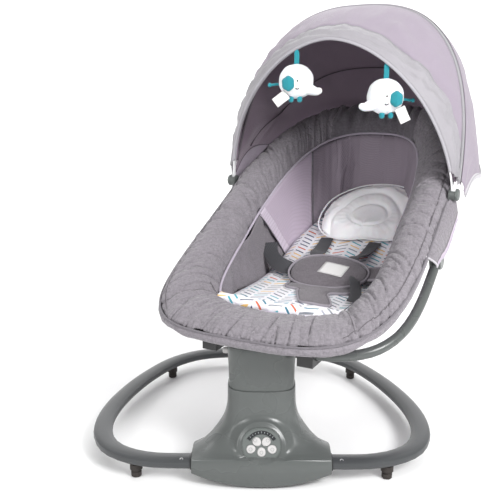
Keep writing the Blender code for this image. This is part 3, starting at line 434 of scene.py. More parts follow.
# ---------------------------------------------------------------- materials
class Look:
    """A Principled material and short calls that add nodes to it."""

    def __init__(self, name, rough=0.6, metal=0.0, sheen=0.0, coat=0.0, subsurface=0.0):
        self.m = bpy.data.materials.new(name)
        self.m.use_nodes = True
        self.tree = self.m.node_tree
        self.shader = self.tree.nodes["Principled BSDF"]
        self.set("Roughness", rough)
        self.set("Metallic", metal)
        self.set("Sheen Weight", sheen)
        self.set("Sheen Roughness", 0.45)
        self.set("Coat Weight", coat)
        self.set("Coat Roughness", 0.15)
        self.set("Subsurface Weight", subsurface)
        self.set("Subsurface Scale", 0.004)
        self.place = self.node("ShaderNodeTexCoord").outputs["Object"]

    def set(self, socket, value):
        self.shader.inputs[socket].default_value = value

    def node(self, kind, **settings):
        n = self.tree.nodes.new(kind)
        for key, value in settings.items():
            setattr(n, key, value)
        return n

    def link(self, a, b):
        self.tree.links.new(a, b)
        return b

    def feed(self, node, inputs):
        for key, value in inputs.items():
            if hasattr(value, "is_output"):
                self.link(value, node.inputs[key])
            else:
                node.inputs[key].default_value = value
        return node

    def mapped(self, scale=(1, 1, 1), turn=(0, 0, 0)):
        n = self.node("ShaderNodeMapping")
        return self.feed(n, {"Vector": self.place, "Scale": scale, "Rotation": turn}).outputs["Vector"]

    def noise(self, scale, detail=2.0, where=None, rough=0.5):
        n = self.node("ShaderNodeTexNoise")
        self.feed(n, {"Vector": where or self.place, "Scale": scale, "Detail": detail, "Roughness": rough})
        return n.outputs["Fac"]

    def bands(self, period, turn=(0, 0, 0), distort=0.0):
        """Soft stripes across the first axis of the turned place."""
        n = self.node("ShaderNodeTexWave")
        self.feed(n, {"Vector": self.mapped(turn=turn), "Scale": pi / 10 / period, "Distortion": distort,
                      "Detail": 1.0, "Detail Scale": 2.0})
        return n.outputs["Fac"]

    def math(self, operation, a, b=0.0, c=0.0, clamped=False):
        n = self.node("ShaderNodeMath", operation=operation, use_clamp=clamped)
        return self.feed(n, {0: a, 1: b, 2: c}).outputs[0]

    def ramp(self, fac, stops, interpolation="LINEAR"):
        n = self.node("ShaderNodeValToRGB")
        n.color_ramp.interpolation = interpolation
        while len(n.color_ramp.elements) < len(stops):
            n.color_ramp.elements.new(0.5)
        for e, (at, colour) in zip(n.color_ramp.elements, stops):
            e.position = at
            e.color = (*colour, 1)
        self.link(fac, n.inputs["Fac"])
        return n.outputs["Color"]

    def mix(self, fac, a, b, kind="MIX"):
        n = self.node("ShaderNodeMix", data_type="RGBA", blend_type=kind)
        for socket, value in ((n.inputs[0], fac), (n.inputs[6], a), (n.inputs[7], b)):
            if hasattr(value, "is_output"):
                self.link(value, socket)
            else:
                socket.default_value = value if socket == n.inputs[0] else (*value, 1)
        return n.outputs[2]

    def colour(self, out):
        self.link(out, self.shader.inputs["Base Color"])

    def roughness(self, fac, low, high):
        span = self.math("MULTIPLY_ADD", fac, high - low, low)
        self.link(span, self.shader.inputs["Roughness"])

    def bump(self, height, distance, strength=1.0):
        n = self.node("ShaderNodeBump")
        previous = self.shader.inputs["Normal"].links
        if previous:
            self.link(previous[0].from_socket, n.inputs["Normal"])
        self.feed(n, {"Height": height, "Distance": distance, "Strength": strength})
        self.link(n.outputs["Normal"], self.shader.inputs["Normal"])


def shade(colour, f):
    """A colour times a factor."""
    return tuple(clamp(c * f) for c in colour)


def woven(name, colour, contrast, slub=0.0045, creased=0.0, rough=0.88, depth=0.00035):
    """Heather cloth: fine crossing threads, short slubs both ways, and a slow change of tone."""
    k = Look(name, rough=rough, sheen=0.25)
    along = k.noise(1 / slub, 3.0, k.mapped((0.22, 1.5, 1.0), (0.2, 0.1, 0.46)))
    across = k.noise(1 / slub, 3.0, k.mapped((1.5, 0.22, 1.0), (-0.1, 0.3, 0.46)))
    fine = k.noise(900, 1.0)
    heather = k.math("ADD", k.math("MULTIPLY", along, 0.4), k.math("MULTIPLY", across, 0.4))
    heather = k.math("ADD", heather, k.math("MULTIPLY", fine, 0.2))
    slow = k.noise(7, 2.0)
    body = k.ramp(heather, [(0.36, shade(colour, 1 - contrast)), (0.50, colour),
                            (0.64, shade(colour, 1 + contrast))])
    k.colour(k.mix(k.math("MULTIPLY", slow, 0.35), body, shade(colour, 0.86)))
    warp = k.bands(0.0011, (0.35, 0.2, 0.46), 0.4)
    weft = k.bands(0.0011, (0.35, 0.9, 2.03), 0.4)
    k.bump(k.math("MULTIPLY", warp, weft), depth, 0.6)
    k.bump(heather, depth * 1.6, 0.5)
    if creased:
        for size, seed in ((30, 0.3), (52, 1.9)):
            cloud = k.noise(size, 1.0, k.mapped(turn=(seed, 0, 0)))
            ridge = k.math("ABSOLUTE", k.math("SUBTRACT", cloud, 0.5))
            k.bump(k.math("MINIMUM", k.math("MULTIPLY", ridge, 14.0), 1.0), creased * 30 / size, 0.6)
    k.roughness(heather, rough - 0.08, rough + 0.06)
    return k.m


def mesh_cloth(name, colour, hole, pitch, rough=0.7):
    """Open knitted mesh over a backing: a grid of small darker holes between smooth threads."""
    k = Look(name, rough=rough, sheen=0.15)
    a = k.bands(pitch, (0.3, 0.2, 0.79))
    b = k.bands(pitch, (0.3, 0.9, 2.36))
    net = k.math("MULTIPLY", a, b)
    slow = k.noise(11, 2.0)
    fine = k.noise(420, 2.0)
    threads = k.ramp(net, [(0.10, shade(colour, 1.05)), (0.55, colour), (0.80, shade(colour, 1 - hole))])
    tone = k.math("MULTIPLY_ADD", fine, 0.35, k.math("MULTIPLY", slow, 0.35))
    k.colour(k.mix(tone, threads, shade(colour, 0.84)))
    k.bump(net, 0.0005, 0.7)
    k.roughness(fine, rough - 0.08, rough + 0.1)
    return k.m


def plain_cloth(name, colour, rough=0.8, sheen=0.2, thread=0.0009, subsurface=0.0):
    """Plain fine weave with a faint uneven tone."""
    k = Look(name, rough=rough, sheen=sheen, subsurface=subsurface)
    slow = k.noise(14, 3.0)
    fine = k.noise(600, 2.0)
    k.colour(k.mix(k.math("MULTIPLY", slow, 0.5), k.mix(fine, shade(colour, 1.04), shade(colour, 0.95)),
                   shade(colour, 0.90)))
    warp, weft = k.bands(thread, (0.2, 0.1, 0.5)), k.bands(thread, (0.4, 0.9, 2.07))
    k.bump(k.math("MULTIPLY", warp, weft), 0.00022, 0.6)
    k.bump(slow, 0.0012, 0.25)
    k.roughness(fine, rough - 0.06, rough + 0.08)
    return k.m


def moulded(name, colour, rough, coat=0.0, wear=0.12):
    """Moulded plastic or painted tube: fine grain, uneven gloss, and edges rubbed a little lighter."""
    k = Look(name, rough=rough, coat=coat)
    cloud = k.noise(24, 3.0)
    fine = k.noise(1500, 1.0)
    body = k.mix(cloud, shade(colour, 0.94), shade(colour, 1.06))
    edge = k.node("ShaderNodeNewGeometry").outputs["Pointiness"]
    rubbed = k.math("MULTIPLY", k.ramp(edge, [(0.53, (0, 0, 0)), (0.60, (1, 1, 1))]), wear * 2)
    k.colour(k.mix(rubbed, body, shade(colour, 1.5)))
    k.bump(fine, 0.00006, 0.5)
    k.roughness(k.noise(14, 2.0), rough - 0.02, rough + 0.03)
    return k.m


def metal(name, colour, rough=0.3):
    """Machined steel with fine turning marks."""
    k = Look(name, rough=rough, metal=1.0)
    marks = k.noise(300, 2.0, k.mapped((1, 1, 12)))
    k.colour(k.mix(marks, shade(colour, 0.85), shade(colour, 1.1)))
    k.roughness(marks, rough - 0.08, rough + 0.12)
    k.bump(marks, 0.00005, 0.4)
    return k.m


def rubber(name, colour):
    """Dull rubber with a trace of dust."""
    k = Look(name, rough=0.75)
    dust = k.noise(90, 4.0)
    k.colour(k.mix(dust, colour, shade(colour, 1.8)))
    k.roughness(dust, 0.62, 0.9)
    k.bump(k.noise(700, 2.0), 0.0002, 0.6)
    return k.m


def plush(name, colour, pile=0.0016, sheen=0.5):
    """Short soft pile: clumped fibres that catch the light at the edges."""
    k = Look(name, rough=0.95, sheen=sheen, subsurface=0.15)
    clump = k.noise(1 / pile * 0.35, 4.0)
    fibre = k.noise(1 / pile, 3.0)
    k.colour(k.mix(k.math("MULTIPLY", clump, 0.6), colour, shade(colour, 0.84)))
    k.bump(clump, 0.0012, 0.5)
    k.bump(fibre, 0.0006, 0.6)
    k.roughness(fibre, 0.85, 1.0)
    return k.m


def webbing(name, colour):
    """Flat woven strap with ribs across it."""
    k = Look(name, rough=0.75, sheen=0.15)
    ribs = k.bands(0.0019, (0.5, 0.3, 1.2))
    fine = k.noise(800, 2.0)
    k.colour(k.mix(ribs, shade(colour, 0.75), shade(colour, 1.2)))
    k.bump(ribs, 0.0004, 0.7)
    k.bump(fine, 0.0001, 0.5)
    k.roughness(fine, 0.65, 0.85)
    return k.m


LINER_TILE = (0.0290, 0.0150)
DASH = (0.0230, 0.0042)


def dashes(name):
    """White cotton jersey printed with rows of short slanted dashes that lean left and right by turns."""
    k = Look(name, rough=0.85, sheen=0.2, subsurface=0.05)
    tile_u, tile_v = LINER_TILE
    uv = k.node("ShaderNodeUVMap", uv_map="cut").outputs["UV"]
    split = k.node("ShaderNodeSeparateXYZ")
    k.link(uv, split.inputs[0])
    u = k.math("DIVIDE", split.outputs["X"], tile_u)
    column = k.math("FLOOR", u)
    lean = k.math("MULTIPLY_ADD", k.math("MODULO", k.math("ABSOLUTE", column), 2.0), 2.0, -1.0)
    fu = k.math("MULTIPLY", k.math("SUBTRACT", k.math("FRACT", u), 0.5), tile_u)
    rise = k.math("MULTIPLY", k.math("MULTIPLY", fu, lean), 0.55)
    v = k.math("DIVIDE", k.math("SUBTRACT", split.outputs["Y"], rise), tile_v)
    row = k.math("FLOOR", v)
    fv = k.math("MULTIPLY", k.math("SUBTRACT", k.math("FRACT", v), 0.5), tile_v)
    inside_v = k.math("LESS_THAN", k.math("ABSOLUTE", fv), DASH[1] / 2)
    inside_u = k.math("LESS_THAN", k.math("ABSOLUTE", fu), DASH[0] / 2)
    cell = k.node("ShaderNodeCombineXYZ")
    k.feed(cell, {"X": column, "Y": row})
    dice = k.node("ShaderNodeTexWhiteNoise", noise_dimensions="3D")
    k.link(cell.outputs[0], dice.inputs["Vector"])
    band = k.node("ShaderNodeTexWhiteNoise", noise_dimensions="1D")
    k.link(k.math("FLOOR", k.math("DIVIDE", row, 3.0)), band.inputs["W"])
    pick = k.math("FRACT", k.math("MULTIPLY_ADD", dice.outputs["Value"], 0.45, band.outputs["Value"]))
    ink = k.ramp(pick, [(0.0, (0.22, 0.24, 0.27)), (0.22, (0.01, 0.15, 0.23)), (0.42, (0.34, 0.35, 0.40)),
                        (0.54, (0.62, 0.11, 0.03)), (0.66, (0.20, 0.23, 0.28)), (0.74, (0.80, 0.50, 0.14)),
                        (0.84, (0.015, 0.03, 0.10)), (0.92, (0.04, 0.36, 0.44))], "CONSTANT")
    cloud = k.noise(18, 3.0)
    white = k.mix(cloud, (0.86, 0.85, 0.88), (0.77, 0.76, 0.80))
    k.colour(k.mix(k.math("MULTIPLY", k.math("MULTIPLY", inside_u, inside_v), 0.96), white, ink))
    k.bump(k.noise(1100, 2.0), 0.0003, 0.5)
    k.roughness(cloud, 0.78, 0.92)
    return k.m


HEATHER = woven("heather_cloth", (0.222, 0.204, 0.226), contrast=0.26, slub=0.0034, creased=0.0016)
# darker heather: painted canopy shade on the rim pad's gathered head cloth; also used for the wall posts
HEATHER_DARK_AND_SHADE = woven("heather_cloth_dark_and_shade", (0.150, 0.138, 0.155), contrast=0.30)
WALL_GREY = woven("wall_cloth", (0.205, 0.187, 0.208), contrast=0.22, slub=0.003)
PIPING = plain_cloth("piping_tape", (0.46, 0.41, 0.49), sheen=0.4)
WELT = woven("welt_cloth", (0.160, 0.147, 0.165), contrast=0.15)
LILAC_MESH = mesh_cloth("lilac_mesh", (0.530, 0.450, 0.545), hole=0.22, pitch=0.0021)
BAG_MESH = mesh_cloth("bag_mesh", (0.400, 0.342, 0.412), hole=0.24, pitch=0.0024)
LILAC_PALE = mesh_cloth("lilac_mesh_pale", (0.66, 0.58, 0.68), hole=0.50, pitch=0.0032)
MAUVE_MESH = mesh_cloth("mauve_mesh", (0.315, 0.268, 0.318), hole=0.25, pitch=0.0021)
CANOPY_LILAC = plain_cloth("canopy_lilac", (0.300, 0.258, 0.312), rough=0.72)
CANOPY_GREY = plain_cloth("canopy_grey", (0.310, 0.296, 0.320), rough=0.62, sheen=0.3)
CANOPY_TAPE = plain_cloth("canopy_tape", (0.30, 0.295, 0.31), thread=0.0014)
HEM_TAPE = plain_cloth("hem_tape", (0.50, 0.48, 0.51), thread=0.0014)
LINING = plain_cloth("canopy_lining", (0.205, 0.158, 0.200), rough=0.85)
LINING_SEAM = plain_cloth("lining_seam", (0.085, 0.068, 0.085), rough=0.85)
FRONT_TAPE = plain_cloth("canopy_front_tape", (0.38, 0.366, 0.395), thread=0.0014)
LINER = dashes("liner_print")
WHITE_JERSEY = plain_cloth("white_jersey", (0.97, 0.96, 0.99), rough=0.88, subsurface=0.08)
MAUVE_PAD = woven("mauve_pad_cloth", (0.150, 0.134, 0.150), contrast=0.26, slub=0.003)
PAD_TAPE = plain_cloth("pad_tape", (0.30, 0.275, 0.31))
STRAP = webbing("strap_webbing", (0.055, 0.055, 0.062))
PLASTIC = moulded("grey_plastic", (0.090, 0.098, 0.095), rough=0.27, coat=0.0, wear=0.0)
PLASTIC_LIGHT = moulded("grey_plastic_light", (0.108, 0.120, 0.115), rough=0.35)
TUBE_PAINT = moulded("tube_paint", (0.050, 0.053, 0.056), rough=0.36, coat=0.0, wear=0.0)
BLACK_PLASTIC = moulded("black_plastic", (0.020, 0.020, 0.021), rough=0.45)
PALE_PLASTIC = moulded("pale_plastic", (0.55, 0.55, 0.53), rough=0.45)
WHITE_PLASTIC = moulded("white_plastic", (0.78, 0.78, 0.79), rough=0.4)
PEARL = moulded("pearl_plastic", (0.50, 0.49, 0.485), rough=0.28, coat=0.15)
SCREEN = moulded("screen_plastic", (0.012, 0.014, 0.016), rough=0.10, coat=0.6)
SCREEN_MARK = moulded("screen_mark", (0.30, 0.32, 0.32), rough=0.4)
BOARD = moulded("board_green", (0.02, 0.10, 0.05), rough=0.4)
FIBRE = moulded("fibre_board", (0.38, 0.31, 0.21), rough=0.8)
STEEL = metal("steel", (0.55, 0.55, 0.56))
FOOT_RUBBER = rubber("foot_rubber", (0.022, 0.018, 0.016))
PLUSH_WHITE = plush("white_plush", (0.84, 0.86, 0.88))
FELT_TEAL = plush("teal_felt", (0.015, 0.24, 0.29), pile=0.0012, sheen=0.3)
LABEL = plain_cloth("label_cloth", (0.78, 0.77, 0.76), sheen=0.1)
THREAD = plain_cloth("dark_thread", (0.03, 0.03, 0.035))
SEAM_THREAD = plain_cloth("seam_thread", (0.10, 0.09, 0.10))

# every slot's materials; the first one is for the solids
LOOKS = {"tube_grey": [TUBE_PAINT], "plastic_grey": [PLASTIC, PLASTIC_LIGHT], "plastic_dark": [BLACK_PLASTIC],
         "plastic_pale": [PALE_PLASTIC], "plastic_white": [WHITE_PLASTIC], "button_pearl": [PEARL],
         "rubber_dark": [FOOT_RUBBER], "steel": [STEEL], "display_black": [SCREEN, SCREEN_MARK],
         "board_green": [BOARD], "board_fibre": [FIBRE], "strap_web": [STRAP, SEAM_THREAD],
         "heather_fabric": [HEATHER, HEATHER_DARK_AND_SHADE, WALL_GREY, WELT, MAUVE_PAD, PAD_TAPE],
         "lilac_mesh": [LILAC_MESH, BAG_MESH, LILAC_PALE, MAUVE_MESH, PIPING, CANOPY_LILAC, CANOPY_GREY,
                        CANOPY_TAPE, HEM_TAPE, LINING, LINING_SEAM, FRONT_TAPE],
         "white_fabric": [WHITE_JERSEY, LINER, LABEL, THREAD, PLUSH_WHITE, FELT_TEAL]}
SLOT_OF = {look.name: slot for slot, looks in LOOKS.items() for look in looks}


# ---------------------------------------------------------------- rim pad
CORNER_SEAMS = (5.43, 3 * pi - 5.43)
HEAD_SEAM_X = 0.098


def head_share(p):
    """1 over the gathered cloth at the head, 0 on the padded roll."""
    if p.y < 0.50:
        return 0.0
    return 1 - smoothstep(HEAD_SEAM_X - 0.004, HEAD_SEAM_X + 0.004, abs(p.x))


def crown(a):
    """Height of the pad's rounded top, by the share run across it."""
    return 0.0350 * max(0.0, sin(pi * clamp(a) ** 0.88)) ** 0.60


def pad_grid(count, across, shrink=0.0):
    """The rim pad's closed cross-sections round the seat."""
    rows = []
    for t in even_angles(count):
        seam, inward, up, wide = pad_frame(t)
        flat = 1 - 0.30 * head_share(seam) - 0.34 * smoothstep(0.030, -0.060, seam.y)
        ring = []
        for j in range(across):
            a = 0.5 - 0.5 * cos(pi * j / (across - 1))
            ring.append(seam + inward * (a * wide) + up * (crown(a) * flat - shrink))
        for a, drop in ((0.97, 0.007), (0.80, 0.0100), (0.55, 0.0125), (0.30, 0.0120), (0.08, 0.0080)):
            ring.append(seam + inward * (a * wide) - up * drop)
        rows.append(ring)
    return rows


def along_rim(p):
    """Distance run round the seat, and the share across it, of a point near the rim."""
    angle = atan2((p.y - SEAT_MID) / (SEAT_L / 2), p.x / (SEAT_W / 2))
    reach = hypot((p.y - SEAT_MID) / (SEAT_L / 2), p.x / (SEAT_W / 2))
    return angle * RING, reach


def outline_half(y):
    """Half width of the seat's outer outline at y."""
    cy = clamp((y - SEAT_MID) / (SEAT_L / 2), -1.0, 1.0)
    power = N_HEAD if cy > 0 else N_FOOT
    return SEAT_W / 2 * (1 - abs(cy) ** power) ** (1 / power) * (1 + TAPER * cy)


def round_seat(t, z):
    """A point on a mean ring round the seat."""
    return Vector((cos(t) * RING, sin(t) * RING, z))


def pad_ripple(p):
    """How far the pad's creases, gathers and stitch grooves move one of its points."""
    s, reach = along_rim(p)
    ring = round_seat(s / RING, reach * 0.055)
    head = head_share(p)
    fold = noise.noise(ring / 0.026 + Vector((3.1, 0.2, 1.4)))
    crease = -0.0048 * exp(-(fold / 0.060) ** 2)
    second = noise.noise(ring / 0.011 + Vector((0.4, 7.1, 2.2)))
    crease -= 0.0022 * exp(-(second / 0.10) ** 2)
    crease += 0.0014 * lumps(ring.x / 0.007, ring.y / 0.007, ring.z / 0.020)
    swell = 0.0030 * wave(p, 0.060, 4.2)
    fine = 0.0005 * wave(p, 0.012, 1.3)
    edge = exp(-max(0.0, 1.0 - reach) / 0.09)
    pucker = 0.0009 * lumps(ring.x / 0.008, ring.y / 0.008, 1.0) * edge
    gather = 0.0042 * sin(p.x / 0.0040 + 2.5 * wave(p, 0.05, 2.0)) * head * smoothstep(0.835, 0.885, reach)
    front = smoothstep(0.06, -0.04, p.y)
    bunch = 0.0016 * noise.noise(ring / 0.024 + Vector((9.0, 1.0, 5.0))) * front
    sides = smoothstep(-0.02, 0.06, p.y) * (1 - smoothstep(0.46, 0.54, p.y))
    inset = outline_half(p.y) - abs(p.x)
    stitch = -0.0024 * exp(-((inset - 0.0125) / 0.0015) ** 2) * sides
    return (crease + swell) * (1 - head) + fine + pucker + gather + bunch + stitch


def make_rim_pad():
    """The stuffed rim pad: filled by cloth simulation, then creased, stitched, and given painted canopy shade at
    the head.
    """
    pad = piece("rim_pad_cover", skin(pad_grid(300, 17, 0.0012), loop_rows=True, loop_cols=True), HEATHER,
                None)
    seams = [[rim_at(t) for t in even_angles(400)],
             [rim_at(t, PAD_SIDE, PAD_FOOT, PAD_HEAD, 0.0076, -0.062) for t in even_angles(400)]]
    lines = np.array([tuple(TURN @ p) for line in seams for p in line])

    def held(co):
        near = np.min(np.linalg.norm(lines - np.array(co), axis=1))
        return 1.0 - smoothstep(0.005, 0.010, float(near))

    puff(pad, held, voxel=0.0055, cap=0.006)
    refine(pad)
    cuts = []
    for t in CORNER_SEAMS:
        seam, inward, up = pad_frame(t)[:3]
        cuts.append((seam, inward.cross(up).normalized()))

    def rule(p):
        groove = 0.0
        for at, normal in cuts:
            if (p - at).length < 0.20:
                groove -= 0.0040 * exp(-((p - at).dot(normal) / 0.0028) ** 2)
        if p.y > 0.50:
            groove -= 0.0040 * exp(-((abs(p.x) - HEAD_SEAM_X) / 0.0030) ** 2)
        return pad_ripple(p) + groove

    ripple(pad, rule)
    paint_head_shade(pad)
    make_stitches(pad)
    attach(pad, "seat")
    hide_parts("rim_pad")


def laid_on(ob, points, lift):
    """Seat-frame points dropped onto a finished piece's surface, raised a little."""
    tree = BVHTree.FromPolygons([v.co for v in ob.data.vertices], [p.vertices for p in ob.data.polygons])
    back = TURN.inverted()
    out = []
    for p in points:
        at, normal = tree.ray_cast(TURN @ (p + UP * 0.10), -UP)[:2]
        if at is None:
            at, normal = tree.find_nearest(TURN @ p)[:2]
        out.append(back @ (at + normal * lift))
    return out


def make_stitches(pad):
    """The thread of the pad's side seams and of its front corner seams."""
    for label, low, high in (("right", -0.95, 1.05), ("left", pi - 1.05, pi + 0.95)):
        path = []
        for i in range(240):
            t = low + (high - low) * i / 239
            seam = pad_frame(t)[0]
            x = seam.x - copysign(0.0125, seam.x)
            path.append(Vector((x, seam.y, seam.z + 0.030)))
        piece("side_stitch_" + label, sweep(even(laid_on(pad, path, 0.0002), 220), oval(0.0014, 0.0014, 6)),
              SEAM_THREAD, "seat")
    for label, t in (("right", CORNER_SEAMS[0]), ("left", CORNER_SEAMS[1])):
        seam, inward, up, wide = pad_frame(t)
        path = [seam + inward * ((0.03 + 0.94 * j / 40) * wide) + up * 0.040 for j in range(41)]
        along = inward.cross(up).normalized()
        piece("corner_stitch_" + label, sweep(laid_on(pad, path, 0.0001), oval(0.0012, 0.0012, 6), up=along),
              SEAM_THREAD, "seat")


def paint_head_shade(ob):
    """Paints the canopy's shade onto the gathered cloth behind the head, as a darker heather."""
    back = TURN.inverted()
    ob.data.materials.append(HEATHER_DARK_AND_SHADE)
    # faces behind the head get the darker heather as painted shade from the canopy
    for poly in ob.data.polygons:
        if head_share(back @ poly.center) > 0.5:
            poly.material_index = 1


def make_rim_trims():
    """Welt on the outer seam and piping on the inner one."""
    angles = even_angles(420)
    outer = [rim_at(t) + Vector((0, 0, -0.0006)) for t in angles]
    piece("rim_welt", sweep(outer, oval(0.0042, 0.0042, 8), closed=True), WELT, "seat")
    inner = [rim_at(t, PAD_SIDE + 0.0006, PAD_FOOT + 0.0006, PAD_HEAD + 0.0006, 0.0086, -0.061) for t in angles]
    piece("inner_piping", sweep(inner, oval(0.0050, 0.0050, 10), closed=True), PIPING, "seat")


def make_side_band():
    """The strip of cloth between the outer seam and the bag, tucked in under the tube."""
    rows = []
    angles = even_angles(420)
    shape = [(0.0008, -0.0004), (-0.0022, -0.0040), (-0.0028, -0.0085), (-0.0010, -0.0130), (0.0040, -0.0165),
             (0.0120, -0.0185)]
    for u, v in shape:
        row = []
        for t in angles:
            seam, inward = pad_frame(t)[:2]
            ring = round_seat(t, v * 3)
            flow = 0.0016 * noise.noise(ring / 0.020) + 0.0008 * noise.noise(ring / 0.007)
            deep = clamp(-v / 0.012)
            down = UP * (v * (1 + 0.25 * noise.noise(ring / 0.05)))
            row.append(seam + inward * (u - flow * deep * (1 if v > -0.016 else 0)) + down)
        rows.append(row)
    band = piece("rim_side_band", shell_ring(rows, CLOTH), HEATHER, "seat")


# ---------------------------------------------------------------- bag, walls and floor
def bag_low(t, side, foot, head, drop):
    """A point of the bag's lower edge at an angle round the seat."""
    p = rim_at(t, side, foot, head)
    return Vector((p.x, p.y, floor_height(p.y) - drop))


def make_bag():
    """The outer bag: lilac mesh sides drawn in to a grey cloth base that sags between its seams."""
    angles = even_angles(240)
    rows = []
    for i in range(13):
        v = i / 12
        row = []
        for t in angles:
            seam, inward, up = pad_frame(t)[:3]
            top = seam + inward * 0.0105 - up * 0.0125
            low = bag_low(t, 0.060, 0.078, 0.062, 0.006)
            p = top.lerp(low, v)
            out = Vector((p.x, (p.y - SEAT_MID) * 0.8, 0)).normalized()
            belly = 0.007 * sin(pi * v)
            folds = 0.0030 * lumps(cos(t) * 9, sin(t) * 9, v * 1.6)
            ring = round_seat(t, v * 0.02)
            folds += 0.0012 * noise.noise(ring / 0.012) * (1 - v)
            row.append(p + out * (belly + folds * sin(pi * clamp(v + 0.15))))
        rows.append(row)
    sides = piece("bag_sides", shell_ring(rows, CLOTH), BAG_MESH, "seat", replaces=("seat_bag",))
    base = []
    for i in range(14):
        f = 1 - i / 13.6
        row = []
        for t in angles:
            edge = bag_low(t, 0.0585, 0.0765, 0.0605, 0.0052)
            y = SEAT_MID + (edge.y - SEAT_MID) * f
            sag = 0.0016 * wave(Vector((edge.x * f, y, 0)), 0.05, 2.0) * (1 - f * f)
            row.append(Vector((edge.x * f, y, floor_height(y) - 0.0060 - sag - 0.0020 * (1 - f ** 6))))
        base.append(row)
    bm = skin(base, loop_cols=True)
    count = len(angles)
    tip = bm.verts.new(sum(base[-1], Vector()) / count)
    bm.verts.ensure_lookup_table()
    last = bm.verts[-1 - count:-1]
    for j in range(count):
        bm.faces.new((last[j], last[(j + 1) % count], tip))
    cloth = piece("bag_base", bm, HEATHER, "seat")
    settle(cloth, "SOLIDIFY", thickness=0.0014, offset=0.0)
    hem = [bag_low(t, 0.0580, 0.0760, 0.0600, 0.0056) for t in angles]
    piece("bag_seam", sweep(hem, oval(0.0038, 0.0030, 8), closed=True), WELT, "seat")


def t_of(y, left):
    """Outline parameter of the inner edge where it passes y, on the right or left side."""
    head = y > SEAT_MID
    reach = SEAT_L / 2 - (PAD_HEAD if head else PAD_FOOT)
    s = clamp((y - SEAT_MID) / reach, -1.0, 1.0)
    t = asin(sgnpow(s, (N_HEAD if head else N_FOOT) / 2))
    return pi - t if left else t


def wall_point(t, v, push):
    """A point of the inner wall: v runs from the piping down to the floor; push is inwards."""
    seam, inward, up, wide = pad_frame(t)
    top = seam + inward * (0.985 * wide) - up * 0.006
    low = bag_low(t, 0.0875, 0.1225, 0.0815, -0.004)
    p = top.lerp(low, v)
    centre = Vector((-p.x, -(p.y - SEAT_MID), 0))
    if centre.length > 1e-6:
        centre.normalize()
    return p + centre * (push - 0.004 * sin(pi * v))


def wall_panel(name, start, end, columns, material, fold, push=0.0):
    """A panel of the inner wall between two edges; start and end give the outline parameter at v."""
    def place(v, u):
        t = start(v) + (end(v) - start(v)) * u
        return wall_point(t, v, push + fold(u, v, t))

    bm = sheet_solid(grid_of(14, columns, place), CLOTH, Vector((0, 0.30, -2.0)))
    panel = piece(name, bm, material, "seat")


def make_walls():
    """The inner walls: cloth at the head and foot, mesh at the sides with a pale strip and a post each."""
    def mesh_front(v):
        return 0.296 + 0.112 * v

    def mesh_back(v):
        return 0.515 + 0.004 * v

    def soft(seed, size, high):
        return lambda u, v, t: high * lumps(t * RING / size, v * 0.7, seed)

    def gathers(u, v, t):
        wander = 2.0 * lumps(t * 5, v, 3.0)
        lean = t * RING / 0.0085 + 1.3 * wander + 0.9 * v
        crease = -0.0060 * exp(-(sin(lean) / 0.30) ** 2) * smoothstep(0.0, 0.25, v + 0.4 * wander)
        return crease + 0.0050 * sin(lean * 0.5) + 0.0090 * lumps(t * 8, v * 1.2, 8.0)

    def head_waves(u, v, t):
        big = 0.0060 * sin(u * 19 + 2.2 * lumps(u * 4, v, 1.0)) * sin(pi * clamp(v * 1.1))
        return big + 0.0020 * lumps(t * 14, v * 2, 5.0)

    wall_panel("wall_head", lambda v: t_of(mesh_back(v), False), lambda v: t_of(mesh_back(v), True), 150,
               MAUVE_MESH, head_waves, push=0.0014)
    wall_panel("wall_foot", lambda v: t_of(mesh_front(v), True),
               lambda v: TWO_PI + t_of(mesh_front(v), False), 330,
               WALL_GREY, gathers, push=0.0010)
    for label, left in (("left", True), ("right", False)):
        edges = (mesh_back, mesh_front) if left else (mesh_front, mesh_back)
        first, last = [lambda v, s=left, edge=edge: t_of(edge(v), s) for edge in edges]
        wall_panel("wall_mesh_" + label, first, last, 70, LILAC_MESH, soft(2.0, 0.06, 0.003))
        wall_panel("wall_strip_" + label, lambda v, s=left: t_of(mesh_front(v) - 0.004, s),
                   lambda v, s=left: t_of(mesh_front(v) + 0.020, s), 10, LILAC_PALE,
                   soft(4.0, 0.05, 0.002), push=0.0026)
        edge = [wall_point(t_of(mesh_front(v / 20) - 0.004, left), v / 20, 0.0042) for v in range(21)]
        piece("wall_strip_edge_" + label, sweep(edge, oval(0.0030, 0.0022, 6)), PIPING, "seat")
        post = [wall_point(t_of(mesh_back(v / 20), left), v / 20, 0.0032) for v in range(21)]
        piece("wall_post_" + label, sweep(post, oval(0.0050, 0.0030, 8)), HEATHER_DARK_AND_SHADE, "seat")


def lay_uv(ob, turn=0.0):
    """Lays the print flat over a piece: metres across the seat and along its floor."""
    layer = ob.data.uv_layers.new(name="cut")
    back = TURN.inverted()
    c, s = cos(turn), sin(turn)
    flat = []
    for v in ob.data.vertices:
        p = back @ v.co
        along = p.y + 0.55 * max(0.0, p.z - 0.262)
        flat.append((p.x * c - along * s, p.x * s + along * c))
    for loop in ob.data.loops:
        layer.data[loop.index].uv = flat[loop.vertex_index]


def cushion(outline, low, high, rows, power):
    """A closed pillow-like form over an outline: low and high give the two faces' heights at a point."""
    middle = sum((Vector(p) for p in outline), Vector((0, 0))) / len(outline)
    steps = [(-1, 1 - i / rows) for i in range(rows - 1, -1, -1)] + [(1, 1 - i / rows) for i in range(1, rows)]
    grid = []
    for side, f in steps:
        swell = max(0.0, 1 - f ** 3) ** power
        line = []
        for corner in outline:
            p = middle + (Vector(corner) - middle) * f
            base = (low(p.x, p.y) + high(p.x, p.y)) / 2
            half = (high(p.x, p.y) - low(p.x, p.y)) / 2
            line.append(Vector((p.x, p.y, base + half * swell * side)))
        grid.append(line)
    return skin(grid, loop_cols=True, caps=True)


LINER_HALF = 0.131
LINER_ENDS = (0.050, 0.585)


